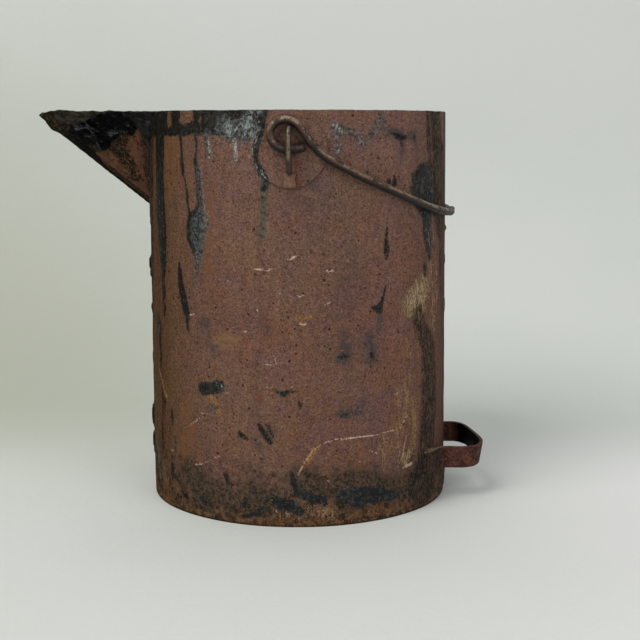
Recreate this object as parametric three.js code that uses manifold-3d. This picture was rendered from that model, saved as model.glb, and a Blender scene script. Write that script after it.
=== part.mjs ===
// Tar bucket: a plain rolled sheet-steel pot with a wide V-shaped pouring spout at the rim,
// a round-rod bail hooked through a staple on each side, and a flat strap handle low on the
// back for tipping. Millimetres, +Z up. The origin is the centre of the bucket's footprint,
// on the ground. The spout points along -X, the tipping handle along +X, and the two ears
// stand on the -Y and +Y sides.
import * as THREE from "three";
import { mergeVertices } from "three/addons/utils/BufferGeometryUtils.js";
import Module from "manifold-3d";

const wasm = await Module();
wasm.setup();

// ---------------------------------------------------------------- driving dimensions
const R = 118; // outer radius of the pot
const H = 305; // height of the pot
const SHEET = 1.6; // sheet thickness of the pot, the spout and the base
const GAP = 0.3; // gap between neighbouring pieces, filled by weld or rust on the real thing
const SEG = 120; // facets round the pot

const SEAM_AT = 115; // direction of the lapped side seam, degrees from +X towards +Y
const SEAM_WIDTH = 18; // overlap of the two edges of the rolled sheet
const SEAM_RAISE = 1.5; // how far the outer layer of the lap stands proud

const BASE_FLANGE = 13; // height to which the base plate's rim is turned up inside the wall
const BASE_CORNER = 4; // outer radius of that turn

const SPOUT_SLOPE = 0.789; // rise of the keel per millimetre of reach
const SPOUT_APEX_X = -212.6; // where the keel would meet the rim plane
const SPOUT_TIP_X = -203.4; // where the spout is cut off
const SPOUT_HALF_MOUTH = 48; // half width of the spout at the rim, where it meets the pot

const EAR_Z = 277; // height of the ear plate's centre
const EAR_R = 27; // radius of the round ear plate
const EAR_T = 1.5; // its thickness
const STAPLE_R = 2.2; // rod radius of the staple
const STAPLE_TOP_Z = 291.6; // height of the staple's upper leg
const STAPLE_HEAD_R = 4.2; // peened head inside the pot
const STAPLE_REACH = 131.4; // distance of the staple's bar from the pot's axis
const TAIL_W = 8.2; // flattened tail below the staple
const TAIL_T = 2.3;
const TAIL_Z = [250.4, 261];

const ROD_R = 2.9; // bail rod radius
const HINGE = [-2.3, 287.8]; // x and z of the axis the bail swings about
const EYE_Y = 124.4; // distance of each eye from the pot's mid plane
const BAIL_REACH = 138.4; // from the swing axis to the middle of the bail
const BAIL_DROP = 25.8; // degrees below level at which the bail leans on the back wall

const STRAP_T = 3; // tipping handle strap
const STRAP_Z = [26.5, 43.7];
const STRAP_TWIST = [0.16, -0.1]; // lean of the outer bar per millimetre of height, near and far end
const STRAP_LEG_Y = 42.9; // centreline of each leg
const TAB_ANGLES = [31.4, 24.2]; // the tabs lie on the wall between these directions, degrees

// ---------------------------------------------------------------- helpers
const rad = THREE.MathUtils.degToRad;

function solid(geometry) {
  const g = geometry.index ? geometry.toNonIndexed() : geometry.clone();
  g.deleteAttribute("normal");
  g.deleteAttribute("uv");
  const m = mergeVertices(g, 1e-4);
  const made = new wasm.Manifold(
    new wasm.Mesh({
      numProp: 3,
      vertProperties: new Float32Array(m.attributes.position.array),
      triVerts: new Uint32Array(m.index.array),
    }),
  );
  if (made.volume() >= 0) return made;
  const t = new Uint32Array(m.index.array);
  for (let i = 0; i < t.length; i += 3) [t[i + 1], t[i + 2]] = [t[i + 2], t[i + 1]];
  return new wasm.Manifold(
    new wasm.Mesh({
      numProp: 3,
      vertProperties: new Float32Array(m.attributes.position.array),
      triVerts: t,
    }),
  );
}

function geometryOf(manifold) {
  const m = manifold.getMesh();
  const n = m.numProp;
  const v = new Float32Array(m.numVert * 3);
  for (let i = 0; i < m.numVert; i++)
    v.set(m.vertProperties.subarray(i * n, i * n + 3), i * 3);
  const g = new THREE.BufferGeometry()
    .setAttribute("position", new THREE.BufferAttribute(v, 3))
    .setIndex(new THREE.BufferAttribute(new Uint32Array(m.triVerts), 1));
  g.computeVertexNormals();
  return g;
}

// A profile of [radius, height] pairs turned about the Z axis.
function turned(profile, segments = SEG) {
  const g = new THREE.LatheGeometry(
    profile.map(([r, z]) => new THREE.Vector2(r, z)),
    segments,
  );
  g.rotateX(Math.PI / 2); // lathe turns about Y; +Y becomes +Z
  return g;
}

function ring(inner, outer, z0, z1, segments = SEG) {
  return turned(
    [
      [inner, z0],
      [outer, z0],
      [outer, z1],
      [inner, z1],
      [inner, z0],
    ],
    segments,
  );
}

// A round bar from |y| = y0 to y1 at (x, z), lying along Y on the side given by sign.
function crossBar(x, z, radius, y0, y1, sign, segments = 24) {
  const g = new THREE.CylinderGeometry(radius, radius, y1 - y0, segments);
  g.translate(x, (sign * (y0 + y1)) / 2, z);
  return g;
}

// Wedge under the rim plane: the V-shaped space between the two cheeks, moved along x by dx,
// running back to x = back, and up to z = top.
function wedge(dx, back, top) {
  const apex = SPOUT_APEX_X + dx;
  const keel = (x) => H - SPOUT_SLOPE * (x - apex);
  const half =
    SPOUT_HALF_MOUTH / (SPOUT_SLOPE * (-Math.sqrt(R * R - SPOUT_HALF_MOUTH ** 2) - SPOUT_APEX_X));
  const xTop = apex - (top - H) / SPOUT_SLOPE; // keel reaches z = top here
  const y = half * (top - keel(back));
  const p = [
    [xTop, 0, top],
    [back, 0, keel(back)],
    [back, -y, top],
    [back, y, top],
  ];
  const faces = [
    [0, 1, 2],
    [0, 3, 1],
    [0, 2, 3],
    [1, 3, 2],
  ];
  const v = [];
  for (const f of faces) for (const i of f) v.push(...p[i]);
  return new THREE.BufferGeometry().setAttribute(
    "position",
    new THREE.BufferAttribute(new Float32Array(v), 3),
  );
}

function box(x0, x1, y0, y1, z0, z1) {
  const g = new THREE.BoxGeometry(x1 - x0, y1 - y0, z1 - z0);
  g.translate((x0 + x1) / 2, (y0 + y1) / 2, (z0 + z1) / 2);
  return g;
}

// A round rod along a curve.
function rod(curve, radius, steps, sides) {
  const shape = new THREE.Shape();
  shape.absarc(0, 0, radius, 0, Math.PI * 2, false);
  const g = new THREE.ExtrudeGeometry(shape, {
    steps,
    curveSegments: sides,
    bevelEnabled: false,
    extrudePath: curve,
  });
  return g;
}

const steel = (color, roughness = 0.85, metalness = 0.25) =>
  new THREE.MeshStandardMaterial({ color, roughness, metalness });
const rust = steel(0x5f4238);
const rustDark = steel(0x3d2f28, 0.8);
const tarred = steel(0x231f1c, 0.6, 0.1);
const rodSteel = steel(0x564b42, 0.55, 0.5);

const bucket = new THREE.Group();
function add(name, geometry, material) {
  const mesh = new THREE.Mesh(geometry, material);
  mesh.name = name;
  bucket.add(mesh);
  return mesh;
}

// ---------------------------------------------------------------- pot wall
const cheekNormalX = (() => {
  const half =
    SPOUT_HALF_MOUTH / (SPOUT_SLOPE * (-Math.sqrt(R * R - SPOUT_HALF_MOUTH ** 2) - SPOUT_APEX_X));
  return (half * SPOUT_SLOPE) / Math.hypot(half * SPOUT_SLOPE, 1, half);
})();
const innerShift = SHEET / cheekNormalX; // moving the wedge this far leaves one sheet thickness

let wall = solid(ring(R - SHEET, R, 0, H));
{
  // outer layer of the lapped side seam
  const a0 = rad(SEAM_AT) - SEAM_WIDTH / 2 / R;
  const a1 = rad(SEAM_AT) + SEAM_WIDTH / 2 / R;
  const s = new THREE.Shape();
  const n = 8;
  for (let i = 0; i <= n; i++) {
    const a = a0 + ((a1 - a0) * i) / n;
    const p = [(R + SEAM_RAISE) * Math.cos(a), (R + SEAM_RAISE) * Math.sin(a)];
    i ? s.lineTo(...p) : s.moveTo(...p);
  }
  for (let i = n; i >= 0; i--) {
    const a = a0 + ((a1 - a0) * i) / n;
    s.lineTo((R - 0.8) * Math.cos(a), (R - 0.8) * Math.sin(a));
  }
  s.closePath();
  const strip = new THREE.ExtrudeGeometry(s, { depth: H, bevelEnabled: false });
  wall = wall.add(solid(strip));
}
wall = wall.subtract(solid(wedge(innerShift, -60, H + 20)));
for (const sign of [-1, 1])
  wall = wall.subtract(
    solid(crossBar(0, STAPLE_TOP_Z, STAPLE_R + 0.4, R - 8, R + 8, sign)),
  );
add("body_shell", geometryOf(wall), rust);

// ---------------------------------------------------------------- base pan, a plate with its rim turned up inside the wall
{
  const ro = R - SHEET - GAP;
  const ri = ro - SHEET;
  const centre = ro - BASE_CORNER;
  const bend = 3;
  const profile = [[0, 0]];
  for (let i = 0; i <= bend; i++) {
    const a = rad((90 * i) / bend);
    profile.push([
      centre + BASE_CORNER * Math.sin(a),
      BASE_CORNER - BASE_CORNER * Math.cos(a),
    ]);
  }
  profile.push([ro, BASE_FLANGE], [ri, BASE_FLANGE]);
  const inside = BASE_CORNER - SHEET;
  for (let i = bend; i >= 0; i--) {
    const a = rad((90 * i) / bend);
    profile.push([
      centre + inside * Math.sin(a),
      BASE_CORNER - inside * Math.cos(a),
    ]);
  }
  profile.push([0, SHEET]);
  add("base_pan", geometryOf(solid(turned(profile))), tarred);
}

// ---------------------------------------------------------------- spout
{
  let v = solid(wedge(0, -60, H)).subtract(solid(wedge(innerShift, -59, H + 20)));
  v = v.subtract(
    solid(
      turned([
        [0, 150],
        [R + GAP + 0.05, 150],
        [R + GAP + 0.05, H + 5],
        [0, H + 5],
      ]),
    ),
  );
  v = v.subtract(solid(box(SPOUT_APEX_X - 5, SPOUT_TIP_X, -20, 20, 270, H + 5)));
  add("spout", geometryOf(v), tarred);
}

// ---------------------------------------------------------------- ears: round plate and staple on each side
for (const [side, sign] of [
  ["near", -1],
  ["far", 1],
]) {
  const r0 = R + GAP;
  let plate = solid(ring(r0, r0 + EAR_T, EAR_Z - 40, EAR_Z + 40));
  plate = plate.intersect(solid(crossBar(0, EAR_Z, EAR_R, 60, 140, sign, 56)));
  plate = plate.subtract(
    solid(crossBar(0, STAPLE_TOP_Z, STAPLE_R + 0.4, 60, 140, sign)),
  );
  add("ear_plate_" + side, geometryOf(plate), rust);

  const path = new THREE.CatmullRomCurve3(
    [
      [115.2, STAPLE_TOP_Z],
      [120, STAPLE_TOP_Z],
      [124.6, STAPLE_TOP_Z],
      [128.4, STAPLE_TOP_Z - 0.5],
      [130.8, STAPLE_TOP_Z - 3],
      [STAPLE_REACH, STAPLE_TOP_Z - 7],
      [STAPLE_REACH, 278],
      [130.4, 272],
      [127.6, 267],
      [124.2, 263.4],
      [122.0, 261.0],
      [121.5, 258.4],
    ].map(([y, z]) => new THREE.Vector3(0, sign * y, z)),
    false,
    "centripetal",
  );
  let staple = solid(rod(path, STAPLE_R, 30, 6));
  // the rod is trimmed where its flattened tail lies on the plate
  const face = R + GAP + EAR_T + GAP + 0.05;
  staple = staple.subtract(
    solid(
      sign < 0
        ? box(-6, 6, -face, -100, 240, 270)
        : box(-6, 6, 100, face, 240, 270),
    ),
  );
  const tail = solid(
    sign < 0
      ? box(-TAIL_W / 2, TAIL_W / 2, -face - TAIL_T, -face, TAIL_Z[0], TAIL_Z[1])
      : box(-TAIL_W / 2, TAIL_W / 2, face, face + TAIL_T, TAIL_Z[0], TAIL_Z[1]),
  );
  const head = solid(
    crossBar(0, STAPLE_TOP_Z, STAPLE_HEAD_R, 113.7, 115.7, sign, 24),
  );
  add("ear_staple_" + side, geometryOf(staple.add(tail).add(head)), rodSteel);
}

// ---------------------------------------------------------------- bail: one rod with an eye at each end
{
  const c = Math.cos(rad(BAIL_DROP));
  const s = Math.sin(rad(BAIL_DROP));
  // eye, as x and z from the swing axis, from the rod's cut end round to where it leaves for the arm
  const eye = [
    [14.0, -9.0],
    [11.0, -9.7],
    [7.2, -10.5],
    [3.0, -10.9],
    [-1.4, -10.5],
    [-5.6, -9.0],
    [-8.9, -6.1],
    [-10.7, -2.3],
    [-10.9, 1.9],
    [-9.2, 5.8],
    [-5.9, 8.6],
    [-1.7, 10.1],
    [2.8, 9.7],
    [6.9, 7.7],
    [10.3, 4.4],
    [13.5, 0.3],
    [17.0, -5.0],
  ];
  // arm, as distance along the bail and height above its plane
  const arm = [
    [23.4, 0.2],
    [29.8, -1.6],
    [37.5, -2.7],
    [47, -3.2],
    [58, -3.7],
    [70, -3.7],
    [84, -3.5],
    [98, -3.4],
    [111, -3.3],
    [122, -2.9],
    [130.5, -2.1],
    [136.4, -1.2],
  ];
  const place = (along, up, y) =>
    new THREE.Vector3(
      HINGE[0] + along * c + up * s,
      y,
      HINGE[1] - along * s + up * c,
    );
  const half = [];
  for (const [x, z] of eye)
    half.push(new THREE.Vector3(HINGE[0] + x, -EYE_Y, HINGE[1] + z));
  for (const [along, up] of arm)
    half.push(
      place(along, up, -EYE_Y * Math.sqrt(1 - Math.min(1, (along / BAIL_REACH) ** 2))),
    );
  const other = half.map((p) => new THREE.Vector3(p.x, -p.y, p.z)).reverse();
  const path = new THREE.CatmullRomCurve3(
    [...half, place(BAIL_REACH, -0.8, 0), ...other],
    false,
    "centripetal",
  );
  path.arcLengthDivisions = 1200;
  add("bail_handle", geometryOf(solid(rod(path, ROD_R, 156, 6))), rodSteel);
}

// ---------------------------------------------------------------- tipping handle: one bent strap
{
  const tabR = R + GAP + 0.05 + STRAP_T / 2;
  const line = [];
  const n = 6;
  for (let i = 0; i <= n; i++) {
    const a = -rad(TAB_ANGLES[0] + ((TAB_ANGLES[1] - TAB_ANGLES[0]) * i) / n);
    line.push([tabR * Math.cos(a), tabR * Math.sin(a)]);
  }
  // near leg, outer bar (a little skewed, as hand bent), far leg
  line.push(
    [112.2, -44.7],
    [115.2, -43.3],
    [119.5, -STRAP_LEG_Y],
    [126, -STRAP_LEG_Y],
    [132.6, -STRAP_LEG_Y],
    [137.6, -41.3],
    [142.0, -37.6],
    [145.1, -31.4],
    [146.9, -22],
    [146.5, -11],
    [145.2, 0],
    [143.8, 11],
    [142.0, 22],
    [139.4, 31.3],
    [135.6, 38],
    [131.2, 41.7],
    [125.4, STRAP_LEG_Y],
    [119.5, STRAP_LEG_Y],
    [115.2, 43.3],
    [112.2, 44.7],
  );
  for (let i = n; i >= 0; i--) {
    const a = rad(TAB_ANGLES[0] + ((TAB_ANGLES[1] - TAB_ANGLES[0]) * i) / n);
    line.push([tabR * Math.cos(a), tabR * Math.sin(a)]);
  }
  const curve = new THREE.CatmullRomCurve3(
    line.map(([x, y]) => new THREE.Vector3(x, y, 0)),
    false,
    "centripetal",
  );
  const N = 96;
  const left = [];
  const right = [];
  for (let i = 0; i <= N; i++) {
    const p = curve.getPoint(i / N);
    const t = curve.getTangent(i / N);
    const nx = -t.y;
    const ny = t.x;
    left.push([p.x + (nx * STRAP_T) / 2, p.y + (ny * STRAP_T) / 2]);
    right.push([p.x - (nx * STRAP_T) / 2, p.y - (ny * STRAP_T) / 2]);
  }
  const outline = [...left, ...right.reverse()];
  const shape = new THREE.Shape();
  outline.forEach(([x, y], i) => (i ? shape.lineTo(x, y) : shape.moveTo(x, y)));
  shape.closePath();
  const g = new THREE.ExtrudeGeometry(shape, {
    depth: STRAP_Z[1] - STRAP_Z[0],
    bevelEnabled: false,
  });
  const at = g.attributes.position;
  for (let i = 0; i < at.count; i++) {
    const bar = THREE.MathUtils.smoothstep(at.getX(i), 124, 142);
    const far = THREE.MathUtils.smoothstep(at.getY(i), -20, 30);
    const lean = STRAP_TWIST[0] + (STRAP_TWIST[1] - STRAP_TWIST[0]) * far;
    at.setX(i, at.getX(i) + bar * lean * (at.getZ(i) - (STRAP_Z[1] - STRAP_Z[0]) / 2));
  }
  g.translate(0, 0, STRAP_Z[0]);
  let strap = solid(g);
  strap = strap.subtract(solid(ring(100, R + GAP + 0.05, 10, 60)));
  add("tipping_handle", geometryOf(strap), rustDark);
}

export default bucket;
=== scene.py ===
# Tar bucket: a rolled sheet wall, a base plate, a folded V spout, a wire bail on two ears and a
# strap handle. It stands on z = 0 around the Z axis: spout to -X, strap to +X, ears at -Y (near)
# and +Y (far). The bail hangs over to +X. Lengths are millimetres; meshes are written in metres.
# phi is the direction round the pot in degrees: 0 faces -Y, 90 faces +X, -90 faces -X.
import itertools
import math

import bmesh
import bpy
import numpy as np
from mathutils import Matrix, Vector


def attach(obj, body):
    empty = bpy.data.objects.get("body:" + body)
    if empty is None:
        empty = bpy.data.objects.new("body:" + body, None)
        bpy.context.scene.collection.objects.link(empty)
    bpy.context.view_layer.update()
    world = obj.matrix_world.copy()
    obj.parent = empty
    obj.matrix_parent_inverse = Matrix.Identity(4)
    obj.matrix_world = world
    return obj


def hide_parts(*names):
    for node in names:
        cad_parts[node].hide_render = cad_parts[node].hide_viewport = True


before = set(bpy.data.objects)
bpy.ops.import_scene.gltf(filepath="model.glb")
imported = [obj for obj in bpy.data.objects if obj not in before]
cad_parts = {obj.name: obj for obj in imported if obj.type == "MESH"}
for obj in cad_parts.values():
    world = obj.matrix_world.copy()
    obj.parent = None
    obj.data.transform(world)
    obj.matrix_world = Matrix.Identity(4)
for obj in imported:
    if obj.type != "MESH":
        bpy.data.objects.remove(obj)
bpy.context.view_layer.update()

RADIUS, HEIGHT, SHEET = 118.0, 305.0, 1.6   # outside of the wall, its rim, sheet thickness
MM_PER_DEG = math.pi * RADIUS / 180
GIRTH = 360 * MM_PER_DEG
KEEL_SLOPE = 0.789      # fall of the spout's keel per mm towards +X
APEX_X = -212.6         # where the keel line would reach rim height
TIP_X = -203.4          # where the spout ends
CHEEK = 0.5805          # half width of the spout gained per mm above the keel
INNER_SHIFT = 4.34      # the spout's inner faces are its outer ones moved this far along x
EAR_Z, EAR_RADIUS = 277.0, 27.0
BODY, BAIL = "bucket", "bail"


# ------------------------------------------------------------------ noise and plane geometry
GRADIENTS = np.random.RandomState(11).normal(size=(2048, 3))
GRADIENTS /= np.linalg.norm(GRADIENTS, axis=1)[:, None]
HASH = np.array([73856093, 19349663, 83492791])


def noise(points, size, seed=0.0):
    """Seeded gradient noise, about -1 to 1, with features about `size` mm."""
    scaled = np.asarray(points, float) / size + seed * np.array([19.19, 7.73, 13.37])
    cell = np.floor(scaled).astype(np.int64)
    part = scaled - cell
    ease = part * part * part * (part * (part * 6 - 15) + 10)
    total = np.zeros(len(scaled))
    for corner in itertools.product((0, 1), repeat=3):
        weight = np.where(corner, ease, 1 - ease).prod(axis=1)
        pick = np.bitwise_xor.reduce((cell + corner) * HASH, axis=1) & 2047
        total += weight * ((part - corner) * GRADIENTS[pick]).sum(1)
    return total * 1.6


def fractal(points, size, octaves, gain, seed):
    """Octaves of noise, each half as large and `gain` times as strong as the last."""
    weights = [gain**k for k in range(octaves)]
    layers = [w * noise(points, size / 2**k, seed + 3.7 * k) for k, w in enumerate(weights)]
    return sum(layers) / sum(weights)


def smooth(value, low, high):
    """Smooth step from 0 at `low` to 1 at `high`; `low` may be the larger."""
    share = np.clip((np.asarray(value, float) - low) / (high - low), 0, 1)
    return share * share * (3 - 2 * share)


def on_wall(phi, z, radius=RADIUS):
    angle = np.radians(phi)
    x, y = radius * np.sin(angle), -radius * np.cos(angle)
    return np.stack([x, y, np.broadcast_to(z, angle.shape)], 1)


def wrap(degrees):
    return (degrees + 180.0) % 360.0 - 180.0


def turn(count):
    """Evenly spaced angles round a full circle, in radians."""
    return np.linspace(0, 2 * np.pi, count, endpoint=False)


def to_segment(x, y, start, end):
    """Distance of each point from a segment, and the share along it of the nearest place."""
    dx, dy = end[0] - start[0], end[1] - start[1]
    along = (x - start[0]) * dx + (y - start[1]) * dy
    share = np.clip(along / max(dx * dx + dy * dy, 1e-9), 0, 1)
    return np.hypot(x - start[0] - share * dx, y - start[1] - share * dy), share


def to_polyline(x, y, points, closed=False):
    """Distance to the nearest segment, and that segment's index plus the share along it."""
    best = np.full(len(x), 1e9)
    place = np.zeros(len(x))
    for i, start in enumerate(points if closed else points[:-1]):
        distance, share = to_segment(x, y, start, points[(i + 1) % len(points)])
        nearer = distance < best
        best[nearer] = distance[nearer]
        place[nearer] = i + share[nearer]
    return best, place


def outline_depth(x, y, outline):
    """Depth of each point inside a closed outline, negative outside it."""
    inside = np.zeros(len(x), bool)
    for (x0, y0), (x1, y1) in zip(outline, outline[1:] + outline[:1]):
        if y0 != y1:
            inside ^= ((y0 > y) != (y1 > y)) & (x < (x1 - x0) * (y - y0) / (y1 - y0) + x0)
    distance, _ = to_polyline(x, y, outline, closed=True)
    return np.where(inside, distance, -distance)


# ------------------------------------------------------------------ meshes
def make_mesh(name, vertices, faces):
    """vertices in mm; faces is a list of integer arrays, one row per face."""
    mesh = bpy.data.meshes.new(name)
    mesh.vertices.add(len(vertices))
    mesh.vertices.foreach_set("co", (np.asarray(vertices) * 0.001).astype(np.float32).ravel())
    corners = np.concatenate([group.ravel() for group in faces]).astype(np.int32)
    sizes = np.concatenate([np.full(len(group), group.shape[1]) for group in faces])
    starts = np.concatenate([[0], np.cumsum(sizes)[:-1]]).astype(np.int32)
    mesh.loops.add(len(corners))
    mesh.loops.foreach_set("vertex_index", corners)
    mesh.polygons.add(len(sizes))
    mesh.polygons.foreach_set("loop_start", starts)
    mesh.polygons.foreach_set("use_smooth", np.ones(len(sizes), bool))
    mesh.update(calc_edges=True)
    mesh.validate()
    ob = bpy.data.objects.new(name, mesh)
    bpy.context.scene.collection.objects.link(ob)
    return ob


def solid(name, vertices, faces, **marks):
    """A closed mesh facing outwards, with one float attribute for each of `marks`."""
    ob = make_mesh(name, vertices, faces)
    for mark, values in marks.items():
        attribute = ob.data.attributes.new(mark, "FLOAT", "POINT")
        attribute.data.foreach_set("value", np.asarray(values, np.float32))
    shell = bmesh.new()
    shell.from_mesh(ob.data)
    bmesh.ops.recalc_face_normals(shell, faces=shell.faces)
    shell.to_mesh(ob.data)
    shell.free()
    ob.data.update()
    return ob


def grid_faces(rows, columns, wrap_rows=False, wrap_columns=False):
    row, column = np.meshgrid(np.arange(rows if wrap_rows else rows - 1),
                              np.arange(columns if wrap_columns else columns - 1), indexing="ij")
    next_row, next_column = (row + 1) % rows, (column + 1) % columns
    quads = [row * columns + column, next_row * columns + column,
             next_row * columns + next_column, row * columns + next_column]
    return np.stack(quads, -1).reshape(-1, 4)


def closed_tube(rings):
    """Vertices and faces of a tube closed by a fan at each end; the two hubs come last."""
    count, sides = rings.shape[:2]
    hubs = [rings[0].mean(0)[None], rings[-1].mean(0)[None]]
    j = np.arange(sides)
    after = (j + 1) % sides
    last = (count - 1) * sides
    first_fan = np.stack([np.full(sides, count * sides), j, after], 1)
    last_fan = np.stack([np.full(sides, count * sides + 1), last + after, last + j], 1)
    faces = [grid_faces(count, sides, wrap_columns=True), first_fan, last_fan]
    return np.vstack([rings.reshape(-1, 3), *hubs]), faces


def disc_faces(spokes, profile):
    """Faces of a profile turned round; the hubs of its first and last points come last."""
    j = np.arange(spokes)
    here, after = j * profile, (j + 1) % spokes * profile
    hub = spokes * profile
    first_fan = np.stack([np.full(spokes, hub), here, after], 1)
    last_fan = np.stack([np.full(spokes, hub + 1), after + profile - 1, here + profile - 1], 1)
    return [grid_faces(spokes, profile, wrap_rows=True), first_fan, last_fan]


def smooth_path(points, per_span, step):
    """A centripetal Catmull-Rom curve resampled at even steps, and the distance along it."""
    points = np.asarray(points, float)
    padded = np.vstack([2 * points[0] - points[1], points, 2 * points[-1] - points[-2]])
    curve = []
    for k in range(1, len(padded) - 2):
        before, start, end, after = padded[k - 1 : k + 3]
        gap0, gap1, gap2 = (max(np.linalg.norm(b - a) ** 0.5, 1e-4)
                            for a, b in ((before, start), (start, end), (end, after)))
        middle = (end - start) / gap1
        leave = ((start - before) / gap0 - (end - before) / (gap0 + gap1) + middle) * gap1
        arrive = (middle - (after - start) / (gap1 + gap2) + (after - end) / gap2) * gap1
        square = -3 * start + 3 * end - 2 * leave - arrive
        cube = 2 * start - 2 * end + leave + arrive
        for s in np.linspace(0, 1, per_span, endpoint=False):
            curve.append(start + leave * s + square * s * s + cube * s**3)
    curve = np.array(curve + [points[-1]])
    lengths = np.linalg.norm(np.diff(curve, axis=0), axis=1)
    distance = np.concatenate([[0], np.cumsum(lengths)])
    even = np.linspace(0, distance[-1], int(round(distance[-1] / step)) + 1)
    return np.stack([np.interp(even, distance, curve[:, k]) for k in range(3)], 1), even


def path_tangents(path):
    tangent = np.gradient(path, axis=0)
    return tangent / np.linalg.norm(tangent, axis=1)[:, None]


def rod_rings(path, up, sides, radius):
    """Rings of a round rod, set on a pair of normals carried along the path without twist."""
    tangent = path_tangents(path)
    normal = np.zeros_like(tangent)
    carried = np.cross(np.asarray(up, float), tangent[0])
    normal[0] = carried / np.linalg.norm(carried)
    for k in range(1, len(tangent)):
        carried = normal[k - 1] - np.dot(normal[k - 1], tangent[k]) * tangent[k]
        normal[k] = carried / np.linalg.norm(carried)
    binormal = np.cross(tangent, normal)
    angle = turn(sides)
    across = (np.cos(angle)[None] * radius[:, None])[..., None]
    upward = (np.sin(angle)[None] * radius[:, None])[..., None]
    return path[:, None] + across * normal[:, None] + upward * binormal[:, None]


def end_taper(left, reach, full, least):
    """Share of the radius kept within `reach` mm of a rounded end."""
    return np.sqrt(np.clip(1 - (np.clip(reach - left, 0, reach) / full) ** 2, least, 1))


# ------------------------------------------------------------------ shape of the rolled wall
def wobble(phi, z):
    """How far the hand-rolled sheet stands off a true cylinder."""
    spots = on_wall(phi, z)
    uneven = 0.55 * noise(spots, 120, 3) + 0.26 * noise(spots, 42, 5) + 0.08 * noise(spots, 17, 6)
    to_ear = np.minimum(abs(wrap(phi)), abs(wrap(phi - 180)))
    ear = np.exp(-((to_ear / 17) ** 2)) * smooth(z, 215, 250)
    spout = np.exp(-((wrap(phi + 90) / 40) ** 2)) * smooth(z, 190, 235)
    uneven = uneven * (1 - 0.85 * np.maximum(ear, spout))
    handle = np.exp(-((wrap(phi - 88) / 42) ** 2))
    return uneven * (0.55 + 0.45 * (1 - handle)) + handle * 1.15 * (1 - 2 * z / HEIGHT)


def ride_wobble(points):
    """Moves the points of a piece that sits on the wall along with the wall."""
    radius = np.hypot(points[:, 0], points[:, 1])
    phi = np.degrees(np.arctan2(points[:, 0], -points[:, 1]))
    share = smooth(radius, 60, 112) * (1 - smooth(radius, 121, 128))
    moved = points.copy()
    push = wobble(phi, points[:, 2]) * share
    moved[:, :2] += push[:, None] * points[:, :2] / np.maximum(radius, 1)[:, None]
    return moved


# ------------------------------------------------------------------ marks on the wall
def table(text):
    """Reads runs parted by ';'; the points of a run are parted by spaces."""
    return [[tuple(map(float, point.split(","))) for point in run.split()]
            for run in text.split(";")]


def ear_gap(centre, first, last, width):
    """A thin stroke along an ear plate's edge, between two angles round the plate."""
    reach = EAR_RADIUS + 0.4
    angles = [math.radians(degrees) for degrees in range(first, last, 6)]
    return [(centre + math.degrees(reach * math.cos(a) / RADIUS), EAR_Z + reach * math.sin(a), width)
            for a in angles]


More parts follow.
